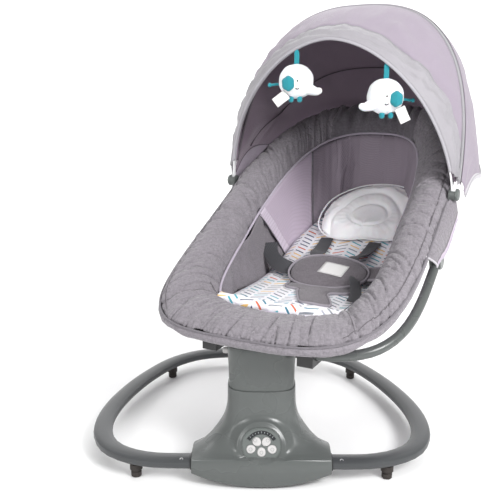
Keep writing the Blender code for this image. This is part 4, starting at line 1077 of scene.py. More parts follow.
def make_liner():
    """The printed quilt over the floor, with a piped edge, and its front flap folded over."""
    stations = 90
    across = 45
    top, bottom = [], []
    for i in range(stations):
        y = LINER_ENDS[0] + (LINER_ENDS[1] - LINER_ENDS[0]) * i / (stations - 1)
        half = min(LINER_HALF, inner_half(y, 0.004))
        row_top, row_low = [], []
        for j in range(across):
            u = -1 + 2 * j / (across - 1)
            u = sin(u * pi / 2)
            x = half * u
            ends = max(0.0, 1 - abs(2 * i / (stations - 1) - 1) ** 24) ** 0.5
            edge = max(0.0, 1 - abs(u) ** 8) ** 0.5 * ends
            p = Vector((x, y, 0))
            tufts = 0.0016 * wave(p, 0.045, 5.0) + 0.0010 * wave(p, 0.018, 2.5)
            z = floor_height(y)
            row_top.append(Vector((x, y, z + 0.0075 + (0.0072 + tufts) * edge)))
            row_low.append(Vector((x, y, z + 0.0070 - 0.0022 * edge)))
        top.append(row_top)
        bottom.append(row_low)
    rows = [a + b[::-1] for a, b in zip(top, bottom)]
    quilt = piece("liner_quilt", skin(rows, loop_cols=True, caps=True), LINER, "seat", replaces=("liner",))
    lay_uv(quilt)
    edge = []
    for side in (-1, 1):
        line = []
        for i in range(60):
            y = 0.060 + 0.510 * i / 59
            half = min(LINER_HALF, inner_half(y, 0.004)) + 0.0008
            line.append(Vector((side * half, y, floor_height(y) + 0.0072)))
        edge += line if side < 0 else line[::-1]
    piece("liner_binding", sweep(edge, oval(0.0036, 0.0040, 8)), PIPING, "seat")

    flap = []
    for j in range(90):
        u = -1 + 2 * j / 89
        x = 0.006 + 0.126 * u
        y0 = 0.050 + 0.014 * u * u + 0.003 * lumps(x / 0.05, 4.0, 0)
        z0 = 0.2735 + 0.0018 * lumps(x / 0.03, 1.0, 2.0)
        ring = []
        for k in range(28):
            c, d = cos(TWO_PI * k / 28), sin(TWO_PI * k / 28)
            crimp = 1 + 0.12 * lumps(x / 0.010, c * 2, d * 2)
            ring.append(Vector((x, y0 + 0.0115 * crimp * sgnpow(c, 0.8),
                                z0 + 0.0072 * crimp * sgnpow(d, 0.8) + 0.0030 * c)))
        flap.append(ring)
    fold = piece("liner_flap", skin(flap, loop_cols=True, caps=True), LINER, "seat")
    lay_uv(fold, turn=0.35)


# ---------------------------------------------------------------- pillow and harness
PILLOW = Vector((0.024, 0.510))
PILLOW_TURN = radians(6)


def pillow_outline(count):
    """The head pillow's outline in the seat frame."""
    pts = []
    cosine, sine = cos(PILLOW_TURN), sin(PILLOW_TURN)
    for i in range(count):
        a = TWO_PI * i / count
        c, s = cos(a), sin(a)
        if s < 0:
            x, y = 0.116 * sgnpow(c, 2 / 3.2), 0.076 * sgnpow(s, 2 / 3.2)
        else:
            x, y = 0.116 * sgnpow(c, 2 / 2.2), 0.078 * sgnpow(s, 2 / 2.1)
        y += 0.006 * exp(-(x / 0.020) ** 2) if s < 0 else 0.0
        pts.append((PILLOW.x + x * cosine - y * sine, PILLOW.y + x * sine + y * cosine))
    return pts


def pillow_base(x, y):
    """Height of the pillow's underside at a point."""
    side = clamp((abs(x - PILLOW.x) - 0.060) / 0.05)
    return floor_height(y) + 0.016 + 0.010 * side * side + 0.026 * smoothstep(0.505, 0.600, y)


def make_pillow():
    """The head pillow with its seam trim."""
    bm = cushion(pillow_outline(80), pillow_base, lambda x, y: pillow_base(x, y) + 0.033, rows=12, power=0.42)
    pillow = piece("pillow_cover", bm, WHITE_JERSEY, None, replaces=("head_pillow",))
    puff(pillow, lambda co: 0.0, voxel=0.005, pressure=3.0, cap=0.006)
    refine(pillow)

    def rule(p):
        if p.z <= pillow_base(p.x, p.y) + 0.012:
            return 0.0
        dx, dy = (p.x - PILLOW.x) * 0.86, p.y - PILLOW.y + 0.018
        r = hypot(dx, dy * 1.15)
        hollow = -0.0085 * exp(-(r / 0.030) ** 2)
        ring = -0.0055 * exp(-((r - 0.038) / 0.0042) ** 2)
        far = abs(hypot(dx, (dy + 0.022) * 0.86) - 0.068)
        arc = -0.0060 * exp(-(far / 0.0042) ** 2) * smoothstep(-0.070, -0.030, dy)
        swirl = -0.0040 * exp(-((dx + 0.004) / 0.0040) ** 2) * exp(-((dy + 0.026) / 0.018) ** 2)
        soft = 0.0014 * wave(p, 0.040, 6.0) + 0.0005 * wave(p, 0.014, 3.0)
        tucks = 0.0004 * sin(atan2(dy, dx) * 26) * exp(-((r - 0.052) / 0.010) ** 2)
        return hollow + ring + arc + swirl + soft + tucks

    ripple(pillow, rule)
    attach(pillow, "seat")
    trim = [Vector((x, y, pillow_base(x, y) + 0.0150)) for x, y in pillow_outline(160)]
    piece("pillow_edge", sweep(trim, oval(0.0034, 0.0034, 8), closed=True), WHITE_JERSEY, "seat")


BUCKLE = Vector((0.012, 0.280, 0.2862))
BUCKLE_TILT = radians(23)
LABEL_TURN = -0.16
LABEL_BOW = 0.9


def on_buckle(u, v, w):
    """A point of the tilted buckle pad: u across the seat, v up the pad, w out of it."""
    c, s = cos(BUCKLE_TILT), sin(BUCKLE_TILT)
    return BUCKLE + Vector((u, v * c - w * s, v * s + w * c))


def pad_form(outline, place, thick, rows=6):
    """A thin stuffed pad over an outline in its own plane."""
    grid = []
    steps = [(-1, i / rows) for i in range(1, rows + 1)] + [(1, 1 - i / rows) for i in range(1, rows)]
    for side, f in steps:
        swell = max(0.0, 1 - f ** 4) ** 0.5
        grid.append([place(u * f, v * f, side * thick / 2 * swell) for u, v in outline])
    return skin(grid, loop_cols=True, caps=True)


def make_buckle():
    """The buckle pad with its label."""
    outline = [(0.0830 * sgnpow(cos(TWO_PI * i / 72), 0.84),
                (0.0525 - 0.0050 * cos(TWO_PI * i / 72)) * sgnpow(sin(TWO_PI * i / 72), 0.92))
               for i in range(72)]
    pad = piece("buckle_cover", pad_form(outline, on_buckle, 0.0095, 8), MAUVE_PAD, "seat",
                replaces=("buckle_pad",))
    refine(pad)
    ripple(pad, lambda p: 0.0011 * wave(p, 0.025, 2.0) + 0.0004 * wave(p, 0.009, 5.0))
    ring = [on_buckle(u * 1.005, v * 1.005, 0.0) for u, v in outline]
    normal = on_buckle(0, 0, 1) - on_buckle(0, 0, 0)
    piece("buckle_binding", sweep(ring, oval(0.0042, 0.0070, 10), up=normal, closed=True), PAD_TAPE, "seat")

    def on_label(u, v, lift):
        c, s = cos(LABEL_TURN), sin(LABEL_TURN)
        return on_buckle(0.010 + u * c - v * s, 0.004 + u * s + v * c, lift - LABEL_BOW * (u * u))

    def label_point(f, g):
        u, v = -0.0275 + 0.055 * f, -0.0185 + 0.037 * g
        return on_label(u, v, 0.0060 + 0.0003 * lumps(u * 200, v * 200, 1))

    patch = piece("buckle_label", sheet_solid(grid_of(9, 9, label_point), 0.0005, on_buckle(0, 0, -1)), LABEL,
                  "seat")
    stitch = [on_label(u, v, 0.0062) for u, v in oval(0.052, 0.034, 60, 12.0)]
    piece("buckle_label_stitch", sweep(stitch, oval(0.0005, 0.0004, 5), up=normal, closed=True), PAD_TAPE,
          "seat")


def on_floor(x, y, lift):
    """A point at a height above the seat's floor."""
    return Vector((x, y, floor_height(y) + lift))


def make_crotch_pad():
    """T-shaped pad: a tongue up from the front and a wide head under the buckle pad."""
    half = [(0.0, -0.124), (0.024, -0.123), (0.032, -0.114), (0.032, -0.062), (0.034, -0.048), (0.044, -0.043),
            (0.058, -0.041), (0.068, -0.032), (0.070, -0.010), (0.062, 0.010), (0.030, 0.018), (0.0, 0.020)]
    outline = curve_through([(x, y, 0) for x, y in half] + [(-x, y, 0) for x, y in half[::-1][1:-1]], 110, True)
    centre_y = 0.252

    def place(u, v, w):
        lean = -0.50 * min(0.0, v + 0.060)
        lift = 0.0172 + w + 0.0016 * wave(Vector((u, v, 0)), 0.03, 4.0)
        return on_floor(u + lean + 0.013, centre_y + v, lift)

    form = pad_form([(p.x, p.y + 0.050) for p in outline], lambda u, v, w: place(u, v - 0.050, w), 0.0066, 8)
    pad = piece("crotch_cover", form, MAUVE_PAD, "seat", replaces=("crotch_pad",))
    refine(pad)
    ring = [place(p.x * 1.004, p.y * 1.004, 0.0) for p in outline]
    piece("crotch_binding", sweep(ring, oval(0.0042, 0.0062, 8), closed=True), PAD_TAPE, "seat")


def web(name, points, width, replaces=(), twist=None, thick=0.0016, count=40, faces=None):
    """A flat strap; twist gives its lean in radians, or faces its outward side, at each share run."""
    path = curve_through(points, count)
    ups = []
    for i in range(count):
        lean = twist(i / (count - 1)) if twist else 0.0
        a = path[max(i - 1, 0)]
        b = path[min(i + 1, count - 1)]
        up = Matrix.Rotation(lean, 3, (b - a).normalized()) @ Vector((0, -0.25, 1))
        ups.append(faces(i / (count - 1)) if faces else up)
    shape = [(-width / 2, -thick / 2), (-width / 4, -thick / 2), (0, -thick / 2), (width / 4, -thick / 2),
             (width / 2, -thick / 2), (width / 2, thick / 2), (width / 4, thick / 2), (0, thick / 2),
             (-width / 4, thick / 2), (-width / 2, thick / 2)]
    ob = piece(name, sweep(path, shape, up=ups), STRAP, "seat", replaces=replaces)
    settle(ob, "BEVEL", width=0.0004, segments=2, limit_method="ANGLE")
    return ob


def make_harness():
    """The shoulder and waist straps, one loose strap end, and the pad on the right waist strap."""
    for label, sign in SIDES:
        top = on_floor(sign * 0.056, 0.448, 0.019)
        points = [top, on_floor(sign * 0.053, 0.420, 0.021), on_floor(sign * 0.049, 0.385, 0.027),
                  on_floor(sign * 0.042, 0.350, 0.040), on_buckle(sign * 0.034, 0.030, -0.0064),
                  on_buckle(sign * 0.028, 0.008, -0.0064)]
        strap = web("shoulder_web_" + label, points, 0.028, ("shoulder_strap_" + label,),
                    lambda f, s=sign: s * 0.25 * sin(pi * f))
        if sign < 0:
            points = [Vector((-0.1430, 0.330, 0.322)), Vector((-0.1340, 0.314, 0.306)),
                      Vector((-0.1190, 0.300, 0.294)), Vector((-0.1000, 0.290, 0.287)),
                      on_buckle(-0.080, 0.002, -0.005), on_buckle(-0.058, 0.0, -0.008)]
            flat = on_buckle(0, 0, 1) - on_buckle(0, 0, 0)
            strap = web("waist_web_left", points, 0.032, ("waist_strap_left",),
                        faces=lambda f: Vector((0.40, -0.88, 0.25)).lerp(flat, smoothstep(0.35, 1.0, f)))
        else:
            points = [Vector((0.1420, 0.372, 0.330)), Vector((0.1380, 0.350, 0.300)),
                      on_floor(0.128, 0.325, 0.030), on_floor(0.108, 0.305, 0.026),
                      on_buckle(0.080, 0.000, -0.006), on_buckle(0.058, 0.0, -0.008)]
            strap = web("waist_web_right", points, 0.030, ("waist_strap_right",), lambda f: -0.5 + 0.45 * f)
    tail = [on_buckle(0.066, -0.010, -0.008), Vector((0.078, 0.250, 0.2860)), Vector((0.090, 0.222, 0.2765)),
            Vector((0.100, 0.194, 0.2705)), Vector((0.104, 0.164, 0.2665))]
    strap = web("strap_tail", tail, 0.022, twist=lambda f: -0.55 + 0.35 * f)
    pad_outline = oval(0.068, 0.048, 48, 2.5)

    def waist_place(u, v, w):
        return Vector((0.101 + u * 0.94, 0.296 + v * 0.9, 0.2880 + v * 0.30 + u * 0.16 + w))

    pad = piece("waist_pad_right", pad_form(pad_outline, waist_place, 0.0075), MAUVE_PAD, "seat")
    refine(pad)
    ring = [waist_place(u * 1.01, v * 1.01, 0) for u, v in pad_outline]
    piece("waist_pad_binding", sweep(ring, oval(0.0040, 0.0056, 8), closed=True), PAD_TAPE, "seat")


# ---------------------------------------------------------------- canopy
REAR_OUT = Vector((0, cos(MID_BOW[3]), -sin(MID_BOW[3])))
FRONT_OUT = Vector((0, cos(FRONT_BOW[3]), -sin(FRONT_BOW[3])))
CANOPY_MIDDLE = Vector((0, 0.40, 0.48))


def span(normal, start, end):
    """Two points, at start and end along the normal from the canopy hinge, as world points on a line through it.
    """
    return TURN @ (HINGE + normal * start), TURN @ (HINGE + normal * end)


REAR_BEND = ("seat", "canopy_mid") + span(REAR_OUT, 0.300, 0.004)
FRONT_BEND = ("canopy_mid", "canopy_front") + span(FRONT_OUT, 0.050, 0.002)


def front_shell(grow, dip, rows=24, cols=150):
    """Grid of points between the front and middle bows, in slack folds that die out at both."""
    grid = []
    for k in range(rows):
        f = k / (rows - 1)
        bow = mix_bow(f, FRONT_BOW[3] - 0.010, MID_BOW[3] - 0.010)
        line = arch_line(bow, 0.042 - 0.024 * f, cols, grow)
        row = []
        for j, p in enumerate(line):
            u = j / (cols - 1)
            slack = sin(pi * f) ** 0.8
            sag = -dip * slack * sin(pi * clamp(u)) ** 0.5
            ends = smoothstep(0.10, 0.30, abs(2 * u - 1))
            fold = 0.0050 * lumps(u * 26, f * 1.6 + 3 * u, 2.0) * slack
            fold += 0.0022 * lumps(u * 60, f * 4, 5.0) * slack
            fold += 0.0030 * sin(f * 17 + 5 * lumps(u * 6, f, 9.0)) * slack * ends
            row.append(p + outward(p) * (sag + fold))
        grid.append(row)
    return grid


def valance_share(u):
    """How far back the valance reaches, as a share of the way between the bows."""
    side = abs(2 * u - 1)
    return 0.25 + 0.62 * smoothstep(0.35, 0.92, side)


def make_canopy_front():
    """The cloth between the bows: a gathered valance, the panel behind it and a lining."""
    grid = front_shell(0.0032, 0.005)
    rows, cols = len(grid), len(grid[0])

    def at(f, j):
        k = clamp(f) * (rows - 1)
        i = min(int(k), rows - 2)
        return grid[i][j].lerp(grid[i + 1][j], k - i)

    valance, panel = [], []
    for i in range(12):
        row = []
        for j in range(cols):
            u = j / (cols - 1)
            f = valance_share(u) * i / 11
            p = at(f, j)
            loose = sin(pi * i / 11)
            slope = 16 * u + (0.55 if u < 0.5 else -0.55) * i
            crumple = 0.0042 + 0.0075 * lumps(slope, i * 0.30, 7.0)
            crumple += 0.0034 * lumps(2.6 * slope, i * 0.42, 1.0)
            row.append(p + outward(p) * (max(-0.0006, crumple) * loose))
        valance.append(row)
    for i in range(14):
        row = []
        for j in range(cols):
            f = valance_share(j / (cols - 1))
            row.append(at(f + (1 - f) * i / 13, j))
        panel.append(row)
    v = piece("canopy_valance", sheet_solid(valance, CANOPY_CLOTH, CANOPY_MIDDLE), CANOPY_GREY, None,
              replaces=("canopy_front_panel",), blend=FRONT_BEND)
    f = piece("canopy_front_cloth", sheet_solid(panel, CANOPY_CLOTH, CANOPY_MIDDLE), CANOPY_LILAC, None,
              blend=FRONT_BEND)
    piece("canopy_valance_seam", sweep(panel[0], oval(0.0030, 0.0026, 6)), CANOPY_TAPE, None, blend=FRONT_BEND)
    lining = []
    for i in range(rows):
        row = []
        for j in range(cols):
            p = grid[i][j]
            row.append(p - outward(p, 0.25) * (0.0018 + 0.0026 * sin(pi * i / (rows - 1))))
        lining.append(row)
    inner = piece("canopy_front_lining", sheet_solid(lining, LINING_CLOTH, CANOPY_MIDDLE), LINING, None,
                  blend=FRONT_BEND)


def outward(p, share=0.0):
    """The direction out of the canopy's hinge line at a point; share keeps that much of its way forward."""
    return Vector((p.x, share * (p.y - HINGE.y), p.z - HINGE.z)).normalized()


def binding(bow, wide, thick, grow, label, body, material, start):
    """A folded tape round a bow's edge."""
    path = arch_line(bow, start, 150, grow)
    piece(label, sweep(path, oval(wide, thick, 14, 3.0), up=[outward(p) for p in path]), material, body)


def make_bindings():
    """The tapes round the two bows, and the bows themselves with their round ends."""
    binding(FRONT_BOW, 0.0112, 0.0056, 0.0004, "canopy_front_tape", "canopy_front", FRONT_TAPE, 0.046)
    binding(MID_BOW, 0.0110, 0.0062, 0.0036, "canopy_mid_tape", "canopy_mid", CANOPY_TAPE, 0.026)
    binding(MID_BOW, 0.0120, 0.0030, -0.0032, "canopy_mid_channel", "canopy_mid", LINING_SEAM, 0.046)
    for label, bow, body in (("front_bow", FRONT_BOW, "canopy_front"), ("mid_bow", MID_BOW, "canopy_mid")):
        along = Vector((0, cos(bow[3]), -sin(bow[3])))
        path = even([arch(bow, pi * i / 720) for i in range(721)], 220)
        ups = [along.cross((path[min(i + 1, 219)] - path[max(i - 1, 0)]).normalized()) for i in range(220)]
        bm = sweep(path, oval(0.0090, 0.0024, 12, 5.0), up=ups)
        for sign in (-1, 1):
            bm = turned(Vector((sign * (bow[0] - 0.0012), HINGE.y, HINGE.z)), (sign, 0, 0),
                        [(0, 0.0064), (0.0004, 0.0070), (0.0020, 0.0070), (0.0024, 0.0064)], 28, bm=bm)
        piece(label + "_strip", bm, WHITE_PLASTIC, body, replaces=(label,))


def rear_point(u, v, grow=0.0):
    """A point of the rear panel: u runs round from the right hinge, v from the middle bow to the hem."""
    dense = rear_point.line
    k = clamp(u) * (len(dense) - 1)
    i = min(int(k), len(dense) - 2)
    m = dense[i].lerp(dense[i + 1], k - i)
    side = min(u, 1 - u)
    rise = 0.036 * (1 - smoothstep(0.02, 0.11, side)) if m.x > 0 else 0.0
    flare = (0.011 if m.x > 0 else 0.004) * exp(-((side - 0.085) / 0.050) ** 2)
    h = hem_at(u) + Vector((copysign(flare, m.x), 0, rise))
    mid = sin(pi * u)
    full = smoothstep(0.0, 0.07, min(u, 1 - u))
    c = (m + h) / 2 + Vector((0.002 * copysign(1, m.x), 0.110 * mid + 0.012, 0.095 * mid)) * full
    p = m * (1 - v) ** 2 + c * (2 * v * (1 - v)) + h * v * v
    out = Vector((p.x, p.y - 0.38, (p.z - 0.50) * 0.8)).normalized()
    return p + out * grow


def lining_low(u):
    """How far down the rear panel its lining reaches: it ends higher near the hinges."""
    return 0.86 - 0.52 * (1 - smoothstep(0.03, 0.15, min(u, 1 - u)))


rear_point.line = arch_line(MID_BOW, 0.028, 160, 0.0072, MID_BOW[3] + 0.002)


def make_canopy_rear():
    """The rear panel with its lining, seams and taped hem."""
    grid = []
    rows, cols = 46, 170
    for k in range(rows):
        v = k / (rows - 1)
        row = []
        for j in range(cols):
            u = j / (cols - 1)
            loose = sin(pi * clamp(v * 1.02)) ** 0.8
            fold = 0.0050 * lumps(u * 16, v * 1.5 + 2.5 * u, 3.0) * loose
            fold += 0.0016 * lumps(u * 52, v * 5, 1.0) * loose
            hem = 0.0026 * exp(-((1 - v) / 0.03) ** 2) * lumps(u * 90, 0, 6.0)
            seam = -0.0024 * exp(-((u - 0.5) / 0.0045) ** 2) * smoothstep(0.02, 0.08, v)
            row.append(rear_point(u, v, 0.0014 + fold + hem + seam))
        grid.append(row)
    rear = piece("canopy_rear_cloth", sheet_solid(grid, 0.0010, CANOPY_MIDDLE), CANOPY_LILAC, None,
                 replaces=("canopy_rear_panel",), blend=REAR_BEND)
    lining = []
    for k in range(40):
        row = []
        for j in range(140):
            u = j / 139
            v = lining_low(u) * k / 39
            slack = sin(pi * k / 39)
            fold = 0.0110 * lumps(u * 7, v * 2.2 + 5 * u, 1.0) * slack
            fold += 0.0045 * abs(lumps(u * 18, v * 5 + 9 * u, 4.0)) * slack
            pinch = 0.0070 * exp(-((v - 0.60) / 0.022) ** 2)
            row.append(rear_point(u, v, -0.0030 - abs(fold) + 0.4 * pinch * slack))
        lining.append(row)
    inner = piece("canopy_rear_lining", sheet_solid(lining, LINING_CLOTH, CANOPY_MIDDLE), LINING, None,
                  blend=REAR_BEND)
    shares = [0.07 + 0.86 * j / 160 for j in range(161)]
    tuck = [rear_point(u, 0.60 - 0.20 * (1 - smoothstep(0.07, 0.20, min(u, 1 - u))), -0.0062) for u in shares]
    piece("canopy_lining_seam", sweep(tuck, oval(0.0040, 0.0026, 8)), LINING_SEAM, None, blend=REAR_BEND)
    edge = [rear_point(0.01 + 0.98 * j / 160, lining_low(0.01 + 0.98 * j / 160), -0.0036) for j in range(161)]
    piece("canopy_lining_edge", sweep(edge, oval(0.0024, 0.0020, 6)), LINING_SEAM, None, blend=REAR_BEND)
    hem = [rear_point(j / 220, 0.985, 0.0014) for j in range(221)]
    ups = [(rear_point(i / 220, 0.93) - rear_point(i / 220, 1.0)).normalized() for i in range(221)]
    shape = oval(0.0034, 0.0120, 12, 3.0)
    piece("canopy_hem_tape", sweep(hem, shape, up=ups), HEM_TAPE, None, blend=REAR_BEND)
    piping = [rear_point(j / 220, 0.945, 0.0030) for j in range(221)]
    piece("canopy_hem_seam", sweep(piping, oval(0.0016, 0.0016, 6)), CANOPY_TAPE, None, blend=REAR_BEND)
    seam = [rear_point(0.5, 0.03 + 0.94 * j / 40, 0.0014) for j in range(41)]
    piece("canopy_rear_seam", sweep(seam, oval(0.0028, 0.0018, 6), up=Vector((0, 1, 0))), CANOPY_TAPE, None,
          blend=REAR_BEND)


# ---------------------------------------------------------------- side skirts
def skirt_point(sign, f, v):
    """A point of the side skirt: f runs from its front edge to the hinge, v from the pad's seam down."""
    y = 0.182 + 0.172 * f
    drop = 0.020 + 0.034 * smoothstep(0.0, 0.60, f)
    seam = rim_at(asin(sgnpow((y - SEAT_MID) / (SEAT_L / 2), (N_HEAD if y > SEAT_MID else N_FOOT) / 2)))
    start = seam.x - 0.0030
    start += (0.2342 - start) * smoothstep(0.78, 0.86, f)
    out = start + (0.2470 - start) * sin(pi / 2 * clamp(v * 1.25)) ** 0.9
    out += 0.0016 * lumps(y / 0.018, v * 1.4, sign * 3.0) * v
    dip = 0.0040 * sin(pi * clamp(f)) * v
    slant = 0.016 * v * (1 - f) ** 2
    return Vector((sign * out, y + slant, rim_height(y) + 0.0012 - drop * v - dip))


def make_skirts():
    """The skirt at each side that runs from the rim over the recline hub, with a lilac lower part."""
    for label, sign in SIDES:
        upper = [[skirt_point(sign, i / 59, 0.72 * k / 13) for k in range(14)] for i in range(60)]
        lower = [[skirt_point(sign, i / 59, 0.72 + 0.28 * k / 7) for k in range(8)] for i in range(60)]
        toward = Vector((0, 0.25, 0.3))
        flap = piece("side_flap_" + label, sheet_solid(upper, 0.0014, toward), HEATHER, "seat",
                     replaces=("side_skirt_" + label,))
        hem = piece("side_flap_strip_" + label, sheet_solid(lower, 0.0014, toward), LILAC_MESH, "seat")
        across = Vector((sign, 0, 0))
        front = [skirt_point(sign, 0.0, k / 20) for k in range(21)]
        piece("side_flap_edge_" + label, sweep(front, oval(0.0042, 0.0034, 8), up=across), HEM_TAPE, "seat")
        low = [skirt_point(sign, i / 60, 1.0) for i in range(61)]
        piece("side_flap_hem_" + label, sweep(low, oval(0.0034, 0.0026, 8), up=across), PIPING, "seat")
        seam = [skirt_point(sign, i / 60, 0.72) + Vector((sign * 0.0004, 0, 0)) for i in range(61)]
        piece("side_flap_seam_" + label, sweep(seam, oval(0.0012, 0.0012, 6), up=across), WELT, "seat")


# ---------------------------------------------------------------- toys
def blob(name, centre, radii, material, body, power=2.0, count=26, rough=0.0, seed=1.0, replaces=()):
    """A soft rounded form: a superellipsoid with a slightly uneven surface, in world axes."""
    rows = []
    for k in range(count):
        a = pi * (k + 0.25) / (count - 0.5)
        row = []
        for i in range(count * 2):
            b = TWO_PI * i / (count * 2)
            d = Vector((sgnpow(sin(a), 2 / power) * sgnpow(cos(b), 2 / power) * radii[0],
                        sgnpow(sin(a), 2 / power) * sgnpow(sin(b), 2 / power) * radii[1],
                        sgnpow(cos(a), 2 / power) * radii[2]))
            d *= 1 + rough * noise.noise(d * 70 + Vector((seed, 0, 0)))
            row.append(Vector(centre) + d)
        rows.append(row)
    return piece(name, skin(rows, loop_cols=True, caps=True), material, body, seat_frame=False,
                 replaces=replaces)


def tube_form(name, path, radius, material, body, count=16):
    """A round soft form along a world path; radius is a function of the share run."""
    def profile(f):
        r = radius(f)
        return [(r * cos(TWO_PI * i / count), r * sin(TWO_PI * i / count)) for i in range(count)]

    line = curve_through(path, 40)
    return piece(name, sweep(line, profile, up=Vector((0.03, -1, 0.02))), material, body, seat_frame=False)


TOY_DROP = 0.0640  # from the hanging point to the toy's middle


def make_toy(label, out):
    """A plush elephant hung from the front bow: out is -1 or 1, the side its tail points to."""
    body = "toy_" + label
    joint = JOINTS["toy_" + label + "_sway"]
    hang = Vector(joint["pos_m"])
    c = hang + Vector((0, 0, -TOY_DROP))
    face = Vector((0, -1, 0))

    def at(x, y, z):
        return c + Vector((out * x, y, z))

    stuffed = blob(body + "_body", c + Vector((0, 0, 0.002)), (0.0340, 0.0255, 0.0330), PLUSH_WHITE, body, 2.15,
                   rough=0.03, seed=out * 3.0, replaces=("toy_" + label,))
    trunk = [at(-0.020, -0.006, -0.0110), at(-0.031, -0.008, -0.0150), at(-0.039, -0.009, -0.0170),
             at(-0.0440, -0.009, -0.0160)]
    tube_form(body + "_trunk", trunk, lambda f: 0.0125 - 0.0058 * f, PLUSH_WHITE, body)
    blob(body + "_trunk_tip", trunk[-1], (0.0064, 0.0064, 0.0064), PLUSH_WHITE, body, count=14)
    ear = [Vector((0.0142 * cos(TWO_PI * i / 6 + 0.45 * out), 0, 0.0160 * sin(TWO_PI * i / 6 + 0.45 * out)))
           for i in range(6)]
    ear = even(curve_through([e.lerp(ear[(i + 1) % 6], s) for i, e in enumerate(ear) for s in (0.15, 0.5, 0.85)],
                             48, True), 48, True)
    middle = at(0.0165, -0.0250, -0.0020)
    rows = []
    for k in range(1, 9):
        f = k / 8
        rise = 0.0052 * (1 - f ** 4) ** 0.5 if k < 8 else 0.0
        rows.append([middle + e * f + Vector((0, abs(e.x * f) * 0.22, 0)) + face * rise for e in ear])
    for k in range(8, 0, -1):
        f = k / 8
        rows.append([middle + e * f + Vector((0, abs(e.x * f) * 0.22, 0)) - face * (0.0035 - 0.0020 * f ** 4)
                     for e in ear])
    piece(body + "_ear", skin(rows, loop_cols=True, caps=True), FELT_TEAL, body, seat_frame=False)
    for k, dx in enumerate((-0.0065, 0.0100)):
        blob(body + "_foot_%d" % k, at(dx, -0.008, -0.0318), (0.0052, 0.0060, 0.0066),
             FELT_TEAL, body, 2.4, count=16)
    blob(body + "_eye", at(-0.0010, -0.0258, 0.0030), (0.0015, 0.0012, 0.0020), THREAD, body, count=12)
    smile = [c + Vector((-out * (0.0010 + 0.0070 * (s - 0.5)), -0.0252, -0.0105 - 0.0022 * sin(pi * s)))
             for s in (0, 0.25, 0.5, 0.75, 1)]
    tube_form(body + "_smile", smile, lambda f: 0.0008, THREAD, body, count=6)
    tail = [at(0.030, 0.004, -0.0040), at(0.038, 0.003, -0.0035), at(0.046, 0.002, -0.0045),
            at(0.052, 0.001, -0.0048)]
    tube_form(body + "_tail", tail, lambda f: 0.0026, FELT_TEAL, body, count=10)
    blob(body + "_tail_tip", tail[-1], (0.0042, 0.0036, 0.0042), FELT_TEAL, body, count=12)
    along = Vector((-0.79, 0.06, -0.61)) if out < 0 else Vector((0.46, 0.06, -0.89))
    across = along.cross(face).normalized()
    corner = at(0.0305, -0.0175, -0.0310)

    def tag_point(f, g):
        u, v = -0.0145 + 0.029 * f, -0.0100 + 0.020 * g
        return corner + along * u + across * v + face * (0.0012 * sin(6.5 * f) - 12 * v * v * f)

    label_tag = piece(body + "_tag", sheet_solid(grid_of(14, 10, tag_point), 0.0006, c), LABEL, body,
                      seat_frame=False)
    path = [hang + Vector((0, 0, -0.0011)), hang + Vector((0, -0.0010, -0.006)),
            hang + Vector((0.0004, -0.001, -0.016)), c + Vector((0, 0, 0.0330))]

    def narrowing(f):
        return oval(0.0056 + 0.0044 * smoothstep(0.0, 0.25, f), 0.0018, 10, 5.0)

    strap = sweep(curve_through(path, 24), narrowing, up=Vector((0, -1, 0)))
    piece(body + "_strap", strap, FELT_TEAL, body, seat_frame=False)


# ---------------------------------------------------------------- housing and panel details
FOOT_HALF = 0.1175
PANEL_Y = -0.0745
PANEL_Z = 0.066
PANEL_TILT = radians(19)
HOUSING_TOP = 0.152
HOUSING_POINTS = 420
HOUSING_STEPS = 170
SPLIT_Y = -0.0163
# each level: height, half width, front, back, widest place, power of the outline, droop of the ends
LEVELS = [(0.0040, 0.155, -0.0905, 0.055, -0.050, 2.1, -0.8), (0.0080, 0.157, -0.0945, 0.059, -0.050, 2.1, -0.8),
          (0.030, 0.157, -0.0955, 0.060, -0.050, 2.1, 0.0), (0.0510, 0.156, -0.0915, 0.058, -0.050, 2.1, 0.35),
          (0.0545, 0.142, -0.0865, 0.056, -0.047, 2.15, 0.35), (0.0580, 0.114, -0.0795, 0.054, -0.037, 2.3, 0.3),
          (0.0640, 0.093, -0.0720, 0.052, -0.023, 2.5, 0.2), (0.0720, 0.0795, -0.0655, 0.050, -0.012, 2.7, 0.05),
          (0.0810, 0.0710, -0.0600, 0.048, -0.006, 2.9, 0.0), (0.0900, 0.0660, -0.0555, 0.047, -0.003, 3.0, 0.0),
          (0.1000, 0.0628, -0.0520, 0.0465, -0.001, 3.1, 0.0), (0.1110, 0.0605, -0.0495, 0.046, 0.0, 3.2, 0.0),
          (0.1240, 0.0592, -0.0475, 0.0455, 0.0, 3.2, 0.0), (0.1380, 0.0587, -0.0460, 0.045, 0.0, 3.2, 0.0),
          (HOUSING_TOP, 0.0585, -0.0450, 0.045, 0.0, 3.2, 0.0)]


def panel_point(u, v, w):
    """A point of the control panel: u right, v up the panel, w out of it."""
    c, s = cos(PANEL_TILT), sin(PANEL_TILT)
    return Vector((u, PANEL_Y + v * s - w * c, PANEL_Z + v * c + w * s))


def on_panel(x, y, z):
    """The (right, up) place on the control panel of a point."""
    rel = Vector((x, y, z)) - panel_point(0, 0, 0)
    return rel.x, rel.z * cos(PANEL_TILT) + rel.y * sin(PANEL_TILT)


